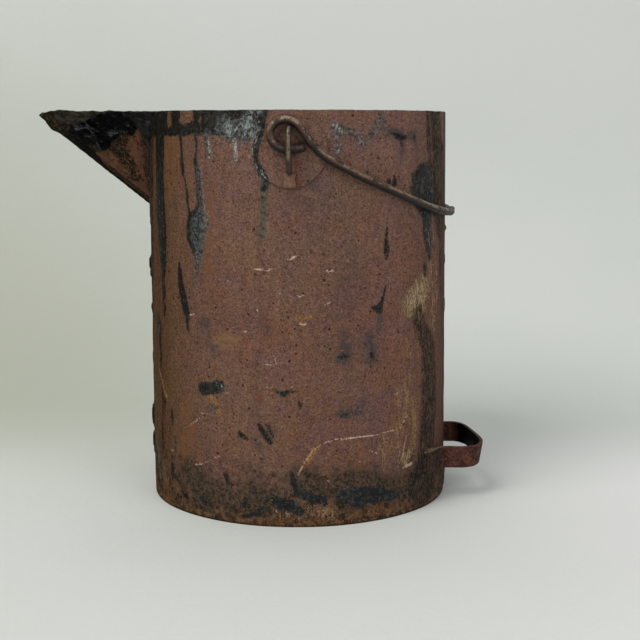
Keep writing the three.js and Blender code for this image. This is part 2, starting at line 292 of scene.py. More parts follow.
# Each stroke is a run of phi,z,width. Kinds: tar; grey, pale, bloom and green are weathered tar;
# smudge, haze and stain are soft dirt, except one haze run, a painted shadow under a tanb blotch;
# tan, tanb and tanst are light brown patches, blotches and streaks; band is a long dark wash down
# the wall; crack is the dark gap round an ear plate.
STROKES = {
    "tar": table("""
-59.3,292.3,21.1 -59.5,283.4,17.3 -60.1,260.8,15.7 -60.2,238.1,17.6 -59.2,215.4,16.8
-58.3,194.2,12 -58,185,7.1 -58.4,169.5,4.8 -58.6,160.2,3.2;
-44.4,287.9,6 -44.1,282.8,3.1 -43.9,276.3,2.4 -43.5,265.3,3.5 -43,257.3,3 -41.8,254.5,2
-41,242.1,2 -40.3,234,2.4 -39.8,228.2,3.9;
-36.1,289.4,3.4 -36.1,279.3,2.2 -36.1,273.6,2 -36.7,268.5,4.1 -35.7,262,4.6 -35,253.4,5.3
-34.9,246.1,5.9 -34.7,237.4,5.3 -35.8,230,8 -36.8,224.1,13.3 -37.1,216.7,15 -36.7,209.4,12.3
-36,202.8,8.1 -36.1,194.7,5.1;
-31.7,285.8,1.8 -31.7,276.5,1.7 -31.4,270.8,1.5; -19.4,270.6,1.7 -19.4,270.1,1.6;
-9.5,305.5,10.2 -9.9,299.2,8.7 -10.1,292.2,7.3 -10.6,285.9,6.2 -11.5,278.2,4.4
-11.7,271.2,5.2 -10.7,264.8,5.2 -9.1,258.5,5.8 -8.5,253.6,4.8 -9,248.6,4.4;
36.9,289.6,2.2 39.6,286.9,3.6 42,285.8,4.6 44.6,286.4,2.8; 42.4,284,2.6 42.9,279.3,1.6;
49.4,286,3 50.2,281.7,2.2; 37.1,254.6,4.8 37.2,254.3,4.6; 39.7,253.3,5.6 39.7,252.9,5.4;
27.9,261.4,2.4 27.9,261,2.1;
36,224,1.2 36.1,214.3,2.4 35.8,209.2,4.6 35.9,204.8,5.8 36.1,201.1,4.4 36.2,198.4,1.8;
35.5,177.6,1.2 35.1,173.2,2 34.3,168.9,3.2 33.6,164.5,4.1;
53.7,259.9,12.1 55.8,252.4,29.4 55.9,244.9,31.1 57.4,237.3,24.7 58.6,229.7,15.9
59.1,219,13.9 59.6,209.9,13.2 60.1,202.2,10.1 61.1,194.4,5.2;
57.2,190.5,4.5 57.4,185.9,5.2 57.3,182.1,3;
-64.7,149.2,6.8 -64.1,143.1,8.8 -62.5,139.6,5.9 -63,129.2,5.1 -62.8,119.8,6.1 -62.9,108.7,4.1;
-57.7,171.2,5 -57.3,165.1,4.2; -57.3,157.4,4.6 -58,151,3.9;
-52.9,77.6,3.2 -52.7,71.3,3.9 -53,66.5,2.3; -53.7,34.4,5 -53.6,24.8,6;
-46.1,192.5,1.8 -46,185.7,5.9 -45.1,174.6,7.5 -43.4,163.6,8.2 -42,154.8,6.5 -41.5,146.6,2.8
-41.2,140.6,1.4;
-6.2,104,0.9 -4.1,101.9,3 -2.4,100.5,4.8 -0.9,102.3,2.2 2.7,102.3,1.2;
3.2,93.4,3.4 3.6,91.1,2.5; 17,127.9,2.2 18.8,128.3,3.4 21.1,128.2,2.2;
29.7,128,3.4 30.4,125.6,3.4; 18,84.2,1.4 19.6,84.8,3 20.8,85.2,1.6;
-18.6,69.1,4.5 -17.3,67.1,3.8 -15.6,65.1,2.3;
-17.8,6.6,3.1 -14.3,8.1,4.6 -11.3,10.9,5.4 -9,14.3,4.6;
-5.3,20.8,7.6 -2.8,17.1,10.7 0.4,16.5,9.2 3.3,11.9,6.1; 0.1,40.8,3.7 1.2,34.7,5.2 1.9,28.7,4.4;
3.7,25.6,9.1 7.6,21.6,6.9 11.9,20.5,6.1; -37.6,15.2,5.4 -34.1,11.8,6;
-24.5,35.8,4.3 -23.7,29.9,3.4; -17.7,14.3,3.2 -16.5,19.2,3.2; -13.1,29,2.3 -12.7,24.5,2.3;
57.7,46,1.8 57.4,36,2.4 57.3,25,2;
-68.6,143,1.6 -66.8,139.6,2.6 -64.4,136.2,1.8 -63.1,131,1.2 -61.6,111,0.9;
-58.2,84.6,3.4 -58.6,80.8,2.4 -58.9,74,1.2"""),
    "grey": table("""
-34.9,262.1,3.9 -34.3,251.2,4.5 -34.1,240.4,4.1 -33.8,230.2,7.7 -33.2,222.9,10.5 -34,214.1,9.7
-35,205.2,8.9 -36.1,194.7,7.1 -36.9,184.2,5.2;
-30.7,288.7,5.5 -30.6,279.4,4.9 -30.3,272.3,4.5 -30.2,269.4,3.6;
-22.9,292.2,18.3 -18.3,289.4,18.3 -13.8,290.8,14;
15.7,293.6,6.6 17.5,292.2,5.9 16.8,285.2,4.4 16.5,278.2,3.4 16.5,272.6,2.7;
19.7,290.8,4.9 22.6,288,5.6 25.3,283.8,6.4 26.5,279.5,3.5;
33.2,303.6,6 32.6,296.5,7.7 31.2,289.4,7.6 28.4,285.2,5.7;
34.5,299.3,3.5 35.2,292.2,4.1 35.4,288,2.7; -28.2,104.6,2.6 -26.6,102.6,4.6 -26,100.6,3;
-37.6,224,7 -37.4,214,9 -36.6,206,6"""),
    "pale": table("""
-33.8,265,2.3 -33.3,252,2.9 -33.2,240.4,2.9 -31.8,228.9,4.7 -31.4,223.1,3.7;
-30.1,285.8,3.6 -30.1,278,3.1 -30.1,270.8,3.6;
-19.5,283.8,6.3 -19.3,278.1,4.7 -19.1,273.2,4.2 -19.1,271.1,3.1;
-12.3,303.4,13.3 -13.8,295,16.5 -12,286.6,10.4 -12.8,279.6,4.5 -13,271.1,3 -11.8,265.5,3.7
-9.6,258.5,4.4 -8.2,254.3,3.6;
-22.1,293.6,11.3 -19,288.7,9.9 -15.3,292.2,14;
15.7,294.3,5.1 17.9,292.2,5.2 16.8,283.8,4.4 16.5,276.8,2.9;
21.2,289.4,3.5 23.8,285.2,4.9 25.7,280.9,4.2"""),
    "bloom": table("""
-30,283,1.8 -30,277,1.6 -30,271,2.2; -19.4,282,2.4 -19.2,276,2.2 -19.1,271.5,3;
-13.2,281,0.8 -12.6,272,0.9; -9.8,262,0.8 -8.4,256,0.9; -25.9,105,0.7 -25.8,102.6,0.7;
-16.5,300,1.6 -18,294,1.6 -20,288,1.4"""),
    "green": table("""
-9,252.8,4.7 -9.2,244.3,4.4 -9.3,237.2,4 -9.2,228.7,3.7 -9.6,221.5,4.4 -9.9,215.8,4.6
-10.2,212.2,2.2;
-36.6,218,9 -36,208,7; -31.6,87.4,2.6 -29,86.6,3.6 -27.6,87.4,1.6;
-72,47,5 -69,38,7 -67.5,26,6 -66,18,3; -62,33,3 -60,22,4"""),
    "smudge": table("""
35.6,291,7 40.4,287.5,9 45.4,287,9 50.4,286.6,7; 42.8,281,5 42.7,273.5,4 42.2,268,2.6;
50,284,6 50.6,276,4 51,268,2.6; 33.6,152.6,6.2 33.2,146.8,6.2;
19.6,144,8 19.9,135.5,10 19.2,127.9,12; 29.3,140.4,7 30.1,131.9,10 29.8,123.5,9;
17,84,5 19.6,85,7.5 22.5,86,6; 25.4,92.8,8.1 25.4,86.7,8.2; 23.1,84.9,5 26.4,88,6 27,95,4.5;
-10,154.2,4.5 -8.7,149.1,5.9 -8.6,144,3; -32.4,150.7,7.7 -32,144.8,7.6;
-32.1,134.3,3 -29,131.9,3.7 -25.6,129.5,3; -12.6,61.7,4.6 -11.4,59.6,3.8;
-41.8,34.8,20.5 -34,22,20.3 -20.9,18.2,18.5 -7.5,20.6,19.9;
3.3,36.3,22.8 14.1,30.9,19.8 25.6,33.5,20 43.6,19.9,18.9 55.6,22.6,32.1;
7,252.6,3 8.6,251.6,4"""),
    # the haze run at phi -28.6 to -25.6, z 131 to 128.6, is a painted shadow beneath a tanb blotch
    "haze": table("""
14,140,12 20,132,22 27,136,22 33,128,14; 7,241.6,43.2 14,230.8,29.4 10.5,216.6,21.7;
19.5,205.4,22.8 21.4,183.6,28 19.5,161.8,23; 1,281,18 2,270,13 6,263,10;
-11.6,163,4.6 -10.6,158.5,4; -9.4,153,3.6 -8,148.5,4.6; -28.6,131,4 -25.6,128.6,5"""),
    "stain": table("""
-29.8,255.1,9 -29.9,237,10.9 -30.1,217.4,11.8 -30.3,195.4,11 -30.8,178.4,9.3;
-50.1,286.4,20.2 -50.4,265.1,19 -50,246.5,14.4; -43.4,88.7,14.6 -42.5,69.6,21.6 -43.3,49.8,17.1;
-59.3,26.9,17.4 -57.9,3.3,16.2; -16,147.1,3.1 -16.7,144.1,2.4; -45.8,92.6,6.5 -45.2,91.2,5.1;
21.7,9.7,6.2 34,9.4,6.2 43.6,8.9,4.7 59.5,9.4,4.1; -19,7.9,3.1 -0.3,4.2,3.1 17.9,2.8,3.9"""),
    "tan": table("49.3,47,4.4 46.6,42.5,6.7"),
    "tanb": table("-28.1,137.3,3.7 -24.3,140.1,5.9 -19.8,139.3,4.4; -25.6,132.5,6 -21.5,134.6,4.5"),
    "tanst": table("""
6,50,4.2 9,59.5,4.6; 42,98,6 42.6,92,5; 47,132,6.5 47.4,124,6; 35.6,64.6,6.7 36.5,55.1,6.7;
41.8,72.9,7.1 40.9,57.5,8.1 40.2,44,6; 6.9,14.8,5.8 9.8,11.5,8.1 14.1,9.5,6.6;
-0.3,11.9,5.1 -3.2,8.7,5.1; 47.3,108,7.5 46,90,8.5 45.8,78.5,6; 43.1,97,5.5 42.2,74.9,5;
50.2,92,5.5 50.9,64.3,6.5 49.5,45,5; 52.7,150,6 54.4,126,7 56.8,104,6; 34,56,5 35.3,40.5,5;
61.9,196.5,10.8 63.1,177.1,17.4 64.4,157.4,16.4 64.7,137.8,10.3; 63.2,229.1,9.5 64.4,211.4,10.1"""),
    "ochre": table("""
1.5,159,1.5 3.1,155.6,2.2 4.9,155.3,2.2 6.3,156.7,2.5 8,158.9,2.2; -30.2,93.2,4.6 -28.7,90.5,3.6;
-28.5,83.7,2 -26.3,83.5,3.3; 4.6,47.6,1.6 6.6,53,3.4 8.8,59,3.4 10.6,62.4,1.6;
36.8,61,1.2 36.5,54,1; -64.3,104.5,1.6 -61,95.8,2.4 -58.2,88.6,2.6 -56.6,83.3,1.5"""),
    "palemark": table("""
3.1,153.1,1.2 4.7,151.9,1.9 6.3,153.1,1; -35.5,81.1,1.4 -33.7,80.7,1.1;
45,36.9,1.9 49.6,38.3,3.2"""),
    "red": table("""
-11.7,98.6,3.8 -10.6,94.3,3.8; 2.1,267.7,2.8 2.1,261.4,3.5 2.5,254.3,4.3 2.2,250.8,2.1;
-2.5,281,5 1.5,279,7 5.5,281.5,5"""),
    "band": table("""
52.8,153.3,16 53.6,145.5,16.4 56.4,137,16.5 59.5,128.4,20.2 60.9,118.6,23.3 61.5,105.8,26
61.7,93.1,26.3 61.9,80.4,26.6 61.7,67.7,26.4 61,55.3,25.6 59.4,44.8,25.8 58.4,34.1,30.1
58.5,24.4,46.2;
64.7,307.2,22.7 65.9,296.8,21.9 67.2,283.3,21.2 67.5,268.2,21.7 65.6,254.7,26.6
64.9,241.1,30.4 67.2,227.1,14 71.5,206.4,12.1;
58,304.1,6.1 58.6,292.3,7.8 59.9,278.9,8.2 60.9,262.5,6.9;
73.3,275.6,14 75.8,229.1,18.8 77,188.2,27 80.6,132.9,22.4 84.4,74.1,19.6 84.4,40.7,19.7;
-75.2,292.3,25.3 -72.1,275.5,20 -74.2,236.6,20.6 -75.4,205.1,21.4 -77.9,156.7,18.7
-80.3,107.1,14.9 -80.3,74.1,13.5 -80.3,40.8,12 -80.3,15.6,13.4;
-60.9,88.7,6.9 -60,81.1,7.5 -61.5,66.1,4.7 -62.2,43.3,4.9"""),
    "crack": [ear_gap(0, -74, 12, 1.0), ear_gap(0, -150, -98, 0.8), ear_gap(180, -170, 10, 1.0)],
}
# Outlines of phi,z. A hole is bare sheet inside tar.
PATCHES = {
    "tar": table("""
-72.5,308.3 -74.3,285.4 -54.5,286.4 -44.4,286.9 -34,287.2 -27.4,287.7 -22.9,286.6 -19.1,285.2
-13.9,283.8 -11,289.4 -8.1,297.8 -7.4,306.8;
-40,231.9 -41.4,223.6 -41.7,215.5 -40.8,208.2 -39.1,203.2 -37.3,199 -35.3,202.2 -34.3,208.9
-33.7,217.1 -32.9,225.9 -33.6,231.7 -36.4,233.6;
-37,99.8 -35.7,103.5 -32.8,105.9 -30.1,105.6 -27.9,107.8 -25.7,107.7 -25,104.9 -25.6,100.2
-27.9,97.2 -31.1,94.9 -34.4,95.2 -36.3,97;
-12.1,79.4 -11.2,78.5 -6.5,65.7 -6.8,62.5 -8.3,63.3 -11.9,73.1;
-9.5,78.6 -7.9,78 -5.9,69.2 -6.4,66.9 -8.1,72;
29.5,162.6 31.3,163.8 33.4,165.6 34.4,164.4 34.5,160.7 33.8,155.9 31.7,158.6;
15.8,23.1 19,28.7 26.1,28.9 34.8,25.5 38.1,21.2 45.7,17 42.1,13.9 35.8,13.1 28.7,14.5
25.4,11.3 22.1,13.9 19.7,17.5 16.7,17.6;
47.9,260.2 57.1,257.8 62.7,257.9 63.9,239.7 55.9,241.2 48.4,244.8 47,248.5 48.7,251.4;
101,308 103,300 100,294 106,289 112,287 121,292 131,290 141,281 150,284 158,291 166,286
172,293 178,308;
182,308 186,296 192,289 199,293 206,284 214,286 223,294 232,287 240,282 251,284 262,291
272,286 287,285 288,308"""),
    "hole": table("""
-44.4,305.3 -44.5,297.3 -42.6,294.7 -39.3,295.9 -37.3,298.4 -37.7,305.2;
-52,304 -52.8,295.2 -51.7,293 -49.9,294 -50.1,304; -34.4,299.4 -34.1,295.8 -33.5,298 -33.6,302.2"""),
    "tan": table("""
51.6,182.1 58.6,182.8 59.1,171 58.1,160.5 55.3,151.6 50.7,151.1 45.4,155.3 44.3,163.2
48.1,171.8 49.8,177.5"""),
}
# Scratches: width,strength and then the phi,z points.
LINES = table("""
1.2,0.5 2.24,38.54 3.68,44.58 5.11,50.15; 1,0.5 5.11,50.15 6.54,54.32 7.76,57.73 9.98,62.19;
0.9,0.6 9.98,62.19 12.66,64.15 15.58,65.79;
1.3,1 15.58,65.79 17.8,65.87 20.43,65.93 23.12,66.06 26.03,66.48 29.12,66.25 32.36,66.52;
1,0.7 32.36,66.52 37.4,67.52 40.74,67.97 43.25,68.4; 0.8,0.5 43.25,68.4 45.32,73.91 46.95,76.78;
1.4,0.95 -1.86,199.75 -0.33,198.76 1.07,200.5 2.81,201.94;
1.2,0.9 -13,192.14 -11.32,191.94 -9.52,191.6 -7.73,191.1 -6.52,192.44;
1.3,0.85 12.26,191.36 13.54,189.86 15.83,191.48; 1.2,0.8 2.21,172.92 3.47,172.33 4.87,173.19;
0.9,0.7 -3.52,175.17 -2.47,173.45; 1.3,0.95 -40.49,154.23 -39.31,155.07 -37.94,155.79;
0.8,0.6 12.26,165.97 14.41,168.04; 0.8,0.6 -5.91,129.76 -5.28,126.55 -4.72,121.11;
0.9,0.6 -8.81,122.5 -7.37,122 -5.86,122.98; 1.1,0.8 -8.72,105.9 -7.27,105.26 -6.19,106.08;
1.1,0.75 0.21,106.02 1.42,105.58; 0.8,0.6 -40.78,70.53 -38.06,74.19 -35.5,77.58;
1,0.6 -40.03,39.51 -35.84,41.49 -32.89,44.01 -31.19,45.93; 1.1,0.7 -3.76,75.32 -2.68,76.72;
1.1,0.65 29.57,55 31.26,53.35 32.98,51.8; 0.8,0.4 9.78,203.7 11.19,205.09;
1.6,0.8 -11.95,161.81 -11.07,161.58; 1,0.6 -23.58,181.81 -22.61,182.49;
1,0.6 -24.1,99.02 -22.87,99.71; 1.4,0.7 -53.86,45.01 -52.26,46.19;
1.6,0.9 24.97,47.82 25.76,47.19; 1.4,0.7 13.25,34.86 14.28,34.43; 0.8,0.5 -5.71,16.91 -5,10.08;
1.2,0.8 -16.87,145.96 -15.58,146.39; 1.3,0.6 39.62,94.08 42.56,96.33;
0.7,0.35 19.47,201.11 20.59,196.69; 0.8,0.4 -29.62,48.55 -26.1,51.04;
0.8,0.45 45.26,156.48 47.04,164.42 49.29,173.79; 0.8,0.45 46.55,156.97 48.39,164.91 50.71,174.28;
0.8,0.45 47.88,157.45 49.78,165.38 52.19,174.75; 0.8,0.45 49.25,157.91 51.21,165.84 53.72,175.2;
0.8,0.45 50.68,158.36 52.71,166.29 55.33,175.64; 0.8,0.45 52.15,158.8 54.28,166.71 57.03,176.06;
0.8,0.45 53.69,159.21 55.92,167.12 58.83,176.45; 0.8,0.45 55.3,159.61 57.65,167.5 60.75,176.81;
0.8,0.45 57,159.98 59.49,167.86 62.83,177.14; 0.9,0.5 61.13,191.32 62.97,179.42 64.2,167.55;
0.9,0.5 63.35,161.54 64.91,149.46 65.73,137.48; 0.9,0.5 59.16,216 60.39,208.23 60.99,200.51;
0.9,0.5 66.68,199.53 68.09,179.88 68.63,160.22; 0.9,0.5 43.31,59.08 43.06,50.62 42.4,42.3;
0.9,0.5 45.5,48.96 43.89,43.31 41.92,37.79; 0.9,0.5 47.03,65.56 45.94,56.21 44.44,47.01""")


def scatter_lumps():
    """Tar lumps near the outline: phi, z, radius, height, tallness."""
    draw = np.random.RandomState(31).uniform
    placed = table("""
-80.3,226,5,0.6 -81,187,5.5,1.4 -80.5,177,3.6,1 -80.3,151,4,0.8 -80.3,112,3.4,0.4
-80.3,63,6,1.5 -80.3,43,5,1.2 -80.3,35,3.4,0.8 86.2,24,5,0.9 86.2,17,4,1.2 86.2,11,4.5,0.9
86,5,3.5,0.7 86.4,214,2.6,0.9 86.2,152,4,0.5 86.2,190,3,0.4""")[0]
    return [(phi + draw(-3.4, 3.4), z + draw(-2, 2), radius * draw(0.65, 1.1), height, draw(1.0, 2.4))
            for phi, z, radius, height in placed]


def add_back_marks():
    """The +Y side gets the same kinds of mark, laid out at random."""
    dice = np.random.RandomState(29)
    draw = dice.uniform
    deg = 2.06  # mm in a degree, near enough
    for _ in range(26):  # runs of tar from the rim
        phi = dice.choice([draw(97, 172), draw(186, 283)])
        length = draw(14, 60) if dice.rand() < 0.6 else draw(70, 190)
        width = draw(2.2, 6.5)
        parts = int(length / 14) + 2
        run = []
        for i in range(parts + 1):
            share = i / parts
            wide = width * (1.15 - 0.55 * share) * draw(0.75, 1.2) * (0.5 if i == parts else 1)
            run.append((phi, 290.0 - length * share, wide))
            phi += draw(-0.7, 0.7)
        STROKES["tar"].append(run)
        if dice.rand() < 0.45:
            STROKES["grey"].append([(x + 0.8, z, w * 0.8) for x, z, w in run[: parts - 1]])
    for _ in range(13):  # spots of tar
        phi, z = draw(100, 262), draw(12, 240)
        wide, tall = draw(2, 7), draw(3, 12)
        angles = [6.2832 * i / 11 for i in range(11)]
        PATCHES["tar"].append([(phi + wide * draw(0.6, 1.2) * math.cos(angle) / deg,
                                z + tall * draw(0.6, 1.2) * math.sin(angle)) for angle in angles])
    # kind, how many, mean width
    for kind, count, size in (("smudge", 12, 12), ("haze", 9, 26), ("stain", 12, 14),
                              ("ochre", 9, 3.5), ("band", 6, 16), ("red", 6, 4), ("tanb", 4, 7)):
        for _ in range(count):
            phi, z = draw(98, 265), draw(15, 280)
            drop = draw(60, 150) if kind == "band" else draw(4, 14)
            width = size * draw(0.6, 1.3)
            end = (phi + draw(-2, 2), max(4, z - drop), width * 0.8)
            STROKES[kind].append([(phi, z, width), end])
    for _ in range(34):  # scratches
        phi, z, lean = draw(96, 266), draw(10, 285), draw(-0.6, 0.6)
        length = draw(3, 9) if dice.rand() < 0.75 else draw(14, 40)
        dx, dz = length * math.cos(lean) / deg, length * math.sin(lean)
        LINES.append([(draw(0.7, 1.3), draw(0.4, 0.9)), (phi, z),
                      (phi + dx * 0.5, z + dz * 0.5 + draw(-0.8, 0.8)), (phi + dx, z + dz)])


LUMPS = scatter_lumps()
add_back_marks()
FAR = -8.0  # depth given to points far outside a mark


def unroll(points):
    """Table points with phi turned into mm round the wall."""
    return [(point[0] * MM_PER_DEG, *point[1:]) for point in points]


def near(x, y, points, x_pad, y_pad):
    """Indices of the places in a padded box round `points`, and their x and y beside it."""
    xs, ys = [point[0] for point in points], [point[1] for point in points]
    middle = (min(xs) + max(xs)) / 2
    dx = (x - middle + GIRTH / 2) % GIRTH - GIRTH / 2
    boxed = abs(dx) < (max(xs) - min(xs)) / 2 + x_pad
    boxed &= (y > min(ys) - y_pad) & (y < max(ys) + y_pad)
    index = np.nonzero(boxed)[0]
    return index, dx[index] + middle, y[index]


def mark_depths(phi, z):
    """How deep each place lies inside each kind of mark, in mm."""
    spots = on_wall(phi, z)
    # the outlines wander a little, so that no edge is a ruled line
    x = phi * MM_PER_DEG + (0.9 * noise(spots, 9, 21) + 0.5 * noise(spots, 3.6, 22))
    y = z + (1.2 * noise(spots, 10, 23) + 0.5 * noise(spots, 3.8, 24))
    depths = {kind: np.full(len(phi), FAR) for kind in (*STROKES, "hole")}
    for kind, strokes in STROKES.items():
        depth = depths[kind]
        for stroke in map(unroll, strokes):
            pad = max(width for *_, width in stroke) / 2 + 8
            index, xs, ys = near(x, y, stroke, pad, pad)
            for start, end in zip(stroke[:-1], stroke[1:]):
                distance, share = to_segment(xs, ys, start, end)
                width = start[2] + (end[2] - start[2]) * share
                depth[index] = np.maximum(depth[index], width / 2 - distance)
    for kind, patches in PATCHES.items():
        depth = depths[kind]
        for patch in map(unroll, patches):
            index, xs, ys = near(x, y, patch, 8, 8)
            depth[index] = np.maximum(depth[index], outline_depth(xs, ys, patch))
    depths["tar"] = np.minimum(depths["tar"], -depths.pop("hole"))
    ragged = 0.8 * noise(spots, 4, 39)
    for centre, lump_z, radius, _, tall in LUMPS:
        distance = np.hypot(wrap(phi - centre) * MM_PER_DEG, (z - lump_z) / tall) + ragged
        depths["tar"] = np.maximum(depths["tar"], 1.05 * radius - distance)
    return depths


def mark_attributes(depths, phi, z, inner=None):
    """Attributes for the wall's material; marks show only where `inner` is 0."""
    line, strength = np.full(len(phi), -4.0), np.zeros(len(phi))
    for (width, power), *points in LINES:
        points = unroll(points)
        index, xs, ys = near(phi * MM_PER_DEG, z, points, 5, 4)
        distance, place = to_polyline(xs, ys, points)
        share = np.clip(place / (len(points) - 1), 0.02, 0.98)
        depth = width * 0.85 / 2 * np.sin(np.pi * share) ** 0.35 - distance
        better = depth > line[index]
        line[index] = np.where(better, depth, line[index])
        strength[index] = np.where(better, power, strength[index])
    shown = True if inner is None else inner < 0.5
    marks = {kind: np.clip(np.where(shown, depth, FAR), FAR, 12) for kind, depth in depths.items()}
    if inner is not None:
        marks["inner"] = inner
    return marks | {"line": np.where(shown, line, -4.0), "strength": strength}


def tar_height(depths, phi, z):
    """Thickness of the dried tar over the sheet."""
    spots = on_wall(phi, z)
    body = smooth(depths["tar"], -0.2, 1.6)
    uneven = 0.22 * fractal(spots, 7, octaves=2, gain=0.6, seed=31) + 0.12 * noise(spots, 2.6, 33)
    height = body * (0.34 + uneven)
    height += smooth(depths["green"], 0, 1.5) * 0.25 + smooth(depths["grey"], 0, 2) * 0.12
    streaks = np.clip(0.1 + 0.22 * noise(spots * [1, 1, 0.25], 4, 35), 0, 1)
    height += smooth(depths["band"], -2, 3) * streaks
    # a thick pad high beside the spout
    corner = np.hypot(wrap(phi + 69) * MM_PER_DEG / 15, (z - 296) / 15)
    pad = (1.5 + 0.4 * noise(spots, 8, 38)) * (1 - smooth(corner, 0.45, 1.0))
    height = np.maximum(height, pad * smooth(depths["tar"], -1, 1))
    ragged = 0.34 * noise(spots, 2.6, 37)
    for centre, lump_z, radius, thick, tall in LUMPS:
        away = np.hypot(wrap(phi - centre) * MM_PER_DEG * 0.9, (z - lump_z) * 0.9 / tall) / radius
        height = np.maximum(height, 1.3 * thick * (1 - smooth(away + ragged, 0.35, 1.0)))
    return height


# ------------------------------------------------------------------ the rolled wall
def keel_inner(x):
    return HEIGHT - KEEL_SLOPE * (x - APEX_X - INNER_SHIFT)


def top_of_wall(phi, radius):
    """Height of the wall's upper edge: the rim, or the V cut behind the spout."""
    x, y = radius * np.sin(np.radians(phi)), -radius * np.cos(np.radians(phi))
    cut = keel_inner(x) + abs(y) / CHEEK
    return np.where(x < 0, np.minimum(HEIGHT, cut), HEIGHT)


def wall_stations():
    """Directions round the wall, and how far the lapped strip at the seam stands proud."""
    fine = np.arange(-104, 104, 1.15 / MM_PER_DEG)
    coarse = np.arange(104, 256, 2.1 / MM_PER_DEG)
    seam = 205 + np.array([-1, 1]) * 9 / MM_PER_DEG
    # both sides of each seam edge, and the ends of the V cut
    extra = [seam[0] - 0.12, seam[0] + 0.06, seam[1] - 0.06, seam[1] + 0.12, 360 - 112.6, -67.4]
    phi = np.unique(np.round(np.concatenate([fine, coarse, extra]), 4))
    gap = np.diff(np.concatenate([phi, [phi[0] + 360]]))
    phi = phi[[i for i in range(len(phi))
               if gap[i] > 0.1 or any(abs(phi[i] - e) < 1e-3 for e in extra)]]
    return phi, ((phi > seam[0]) & (phi < seam[1])) * 1.5


def build_wall():
    stations, raised = wall_stations()
    count = len(stations)
    edge, foot = SHEET / 2, 0.35
    inside_radius = RADIUS - SHEET

    def face_z(share, radius):
        return foot + share * (top_of_wall(stations, radius) - edge - foot)

    # rows of radius, z and inner flag: up the outside, over the rounded rim, down the inside
    rows = [(RADIUS + raised, face_z(t, RADIUS), 0.0) for t in np.linspace(0, 1, 245)]
    for degrees in (30, 60, 90, 120, 150):
        out, up = math.cos(math.radians(degrees)), math.sin(math.radians(degrees))
        rows.append((RADIUS - edge + edge * out + raised * (1 + out) / 2,
                     top_of_wall(stations, RADIUS - edge) - edge + edge * up,
                     0.0 if degrees < 120 else 1.0))
    rows += [(inside_radius, face_z(t, inside_radius), 1.0) for t in np.linspace(1, 0, 66)]
    rows += [(inside_radius + 0.3, 0.0, 1.0), (RADIUS - 0.3 + raised, 0.0, 0.0)]
    radius, z, inner = (np.stack([np.broadcast_to(row[k], count) for row in rows], 1).ravel()
                        for k in range(3))
    phi = np.repeat(stations, len(rows))
    points = on_wall(phi, z, radius)

    depths = mark_depths(phi, z)
    outer_tar = tar_height(depths, phi, z) * (inner < 0.5)
    # dried tar inside: a skin with runs and lumps, thickest low down
    inside = on_wall(phi, z, inside_radius)
    runs = fractal(inside * [1, 1, 0.45], 16, octaves=3, gain=0.55, seed=41)
    skin = (smooth(z, 285, 200) * 0.7 + 0.25) * np.clip(0.45 + 0.75 * runs, 0, 2.2)
    inner_tar = skin * smooth(z, 303, 288) * ((inner > 0.5) & (z > 16))
    # small nicks along the upper edge
    flat = on_wall(phi, z * 0)
    nick = 0.22 * noise(flat, 5, 43) + 0.3 * noise(flat, 19, 44)
    points[:, 2] += np.where(z > top_of_wall(phi, radius) - 1.0, nick * 0.9, 0) * (z > 150)
    points[:, 2] = np.minimum(points[:, 2], HEIGHT + 0.3)
    push = wobble(phi, z) + np.where(inner < 0.5, outer_tar, -inner_tar)
    points[:, :2] *= (1 + push / np.maximum(np.hypot(points[:, 0], points[:, 1]), 1))[:, None]
    return solid("wall", points, [grid_faces(count, len(rows), True, True)],
                 **mark_attributes(depths, phi, z, inner))


# ------------------------------------------------------------------ the base
def build_base():
    """Plate with its rim turned up inside the wall; tar has set over the inner side."""
    outer = RADIUS - SHEET - 0.1
    corner, flange, spokes = 4.0, 13.0, 260
    bend = corner - SHEET + 1
    rise = np.radians([15, 30, 45, 60, 75, 90])
    # rows of radius, z and inner flag, from the centre of the underside round to the inside
    rows = [(r, 0.0, 0) for r in np.linspace(3, outer - corner, 40)]
    rows += [(outer - corner + corner * math.sin(a), corner - corner * math.cos(a), 0)
             for a in rise]
    rows += [(outer, z, 0) for z in np.linspace(5, flange - 0.5, 6)]
    rows += [(outer - 0.35, flange, 0), (outer - SHEET + 0.35, flange, 1)]
    rows += [(outer - SHEET, z, 1) for z in np.linspace(flange - 0.6, 6.5, 6)]
    rows += [(outer - corner - 1 + bend * math.sin(a), corner + 1.6 - bend * math.cos(a), 1)
             for a in rise[-2::-1]]
    rows += [(r, SHEET, 1) for r in np.linspace(outer - corner - 1.5, 3, 60)]
    radius, z, inner = (np.tile([float(row[k]) for row in rows], spokes) for k in range(3))
    phi = np.repeat(np.linspace(0, 360, spokes, endpoint=False), len(rows))
    points = on_wall(phi, z, radius)
    flat = points * [1, 1, 0]
    lumpy = 1.5 * fractal(flat, 34, octaves=4, gain=0.55, seed=51)
    tar = np.clip(1.3 + lumpy + 0.5 * abs(noise(flat, 11, 53)), 0.2, 4.5)
    tar *= smooth(radius, outer + 1, outer - 14) * 0.75 + 0.25
    points[:, 2] += inner * tar * (z < 9)
    push = wobble(phi, z) * smooth(radius, 90, outer)
    points[:, :2] *= (1 + push / np.maximum(radius, 1))[:, None]
    under = (inner < 0.5) & (z < 0.01)
    hollow = np.clip(0.25 + 0.35 * noise(flat, 45, 55), 0, 0.8)
    points[:, 2] += under * hollow * smooth(radius, outer - 2, outer - 16)
    hub_z = points[len(rows) - 1 :: len(rows), 2].mean()
    points = np.vstack([points, [[0, 0, 0.3]], [[0, 0, hub_z]]])
    return solid("base", points, disc_faces(spokes, len(rows)),
                 inner=np.concatenate([inner, [0, 1]]))


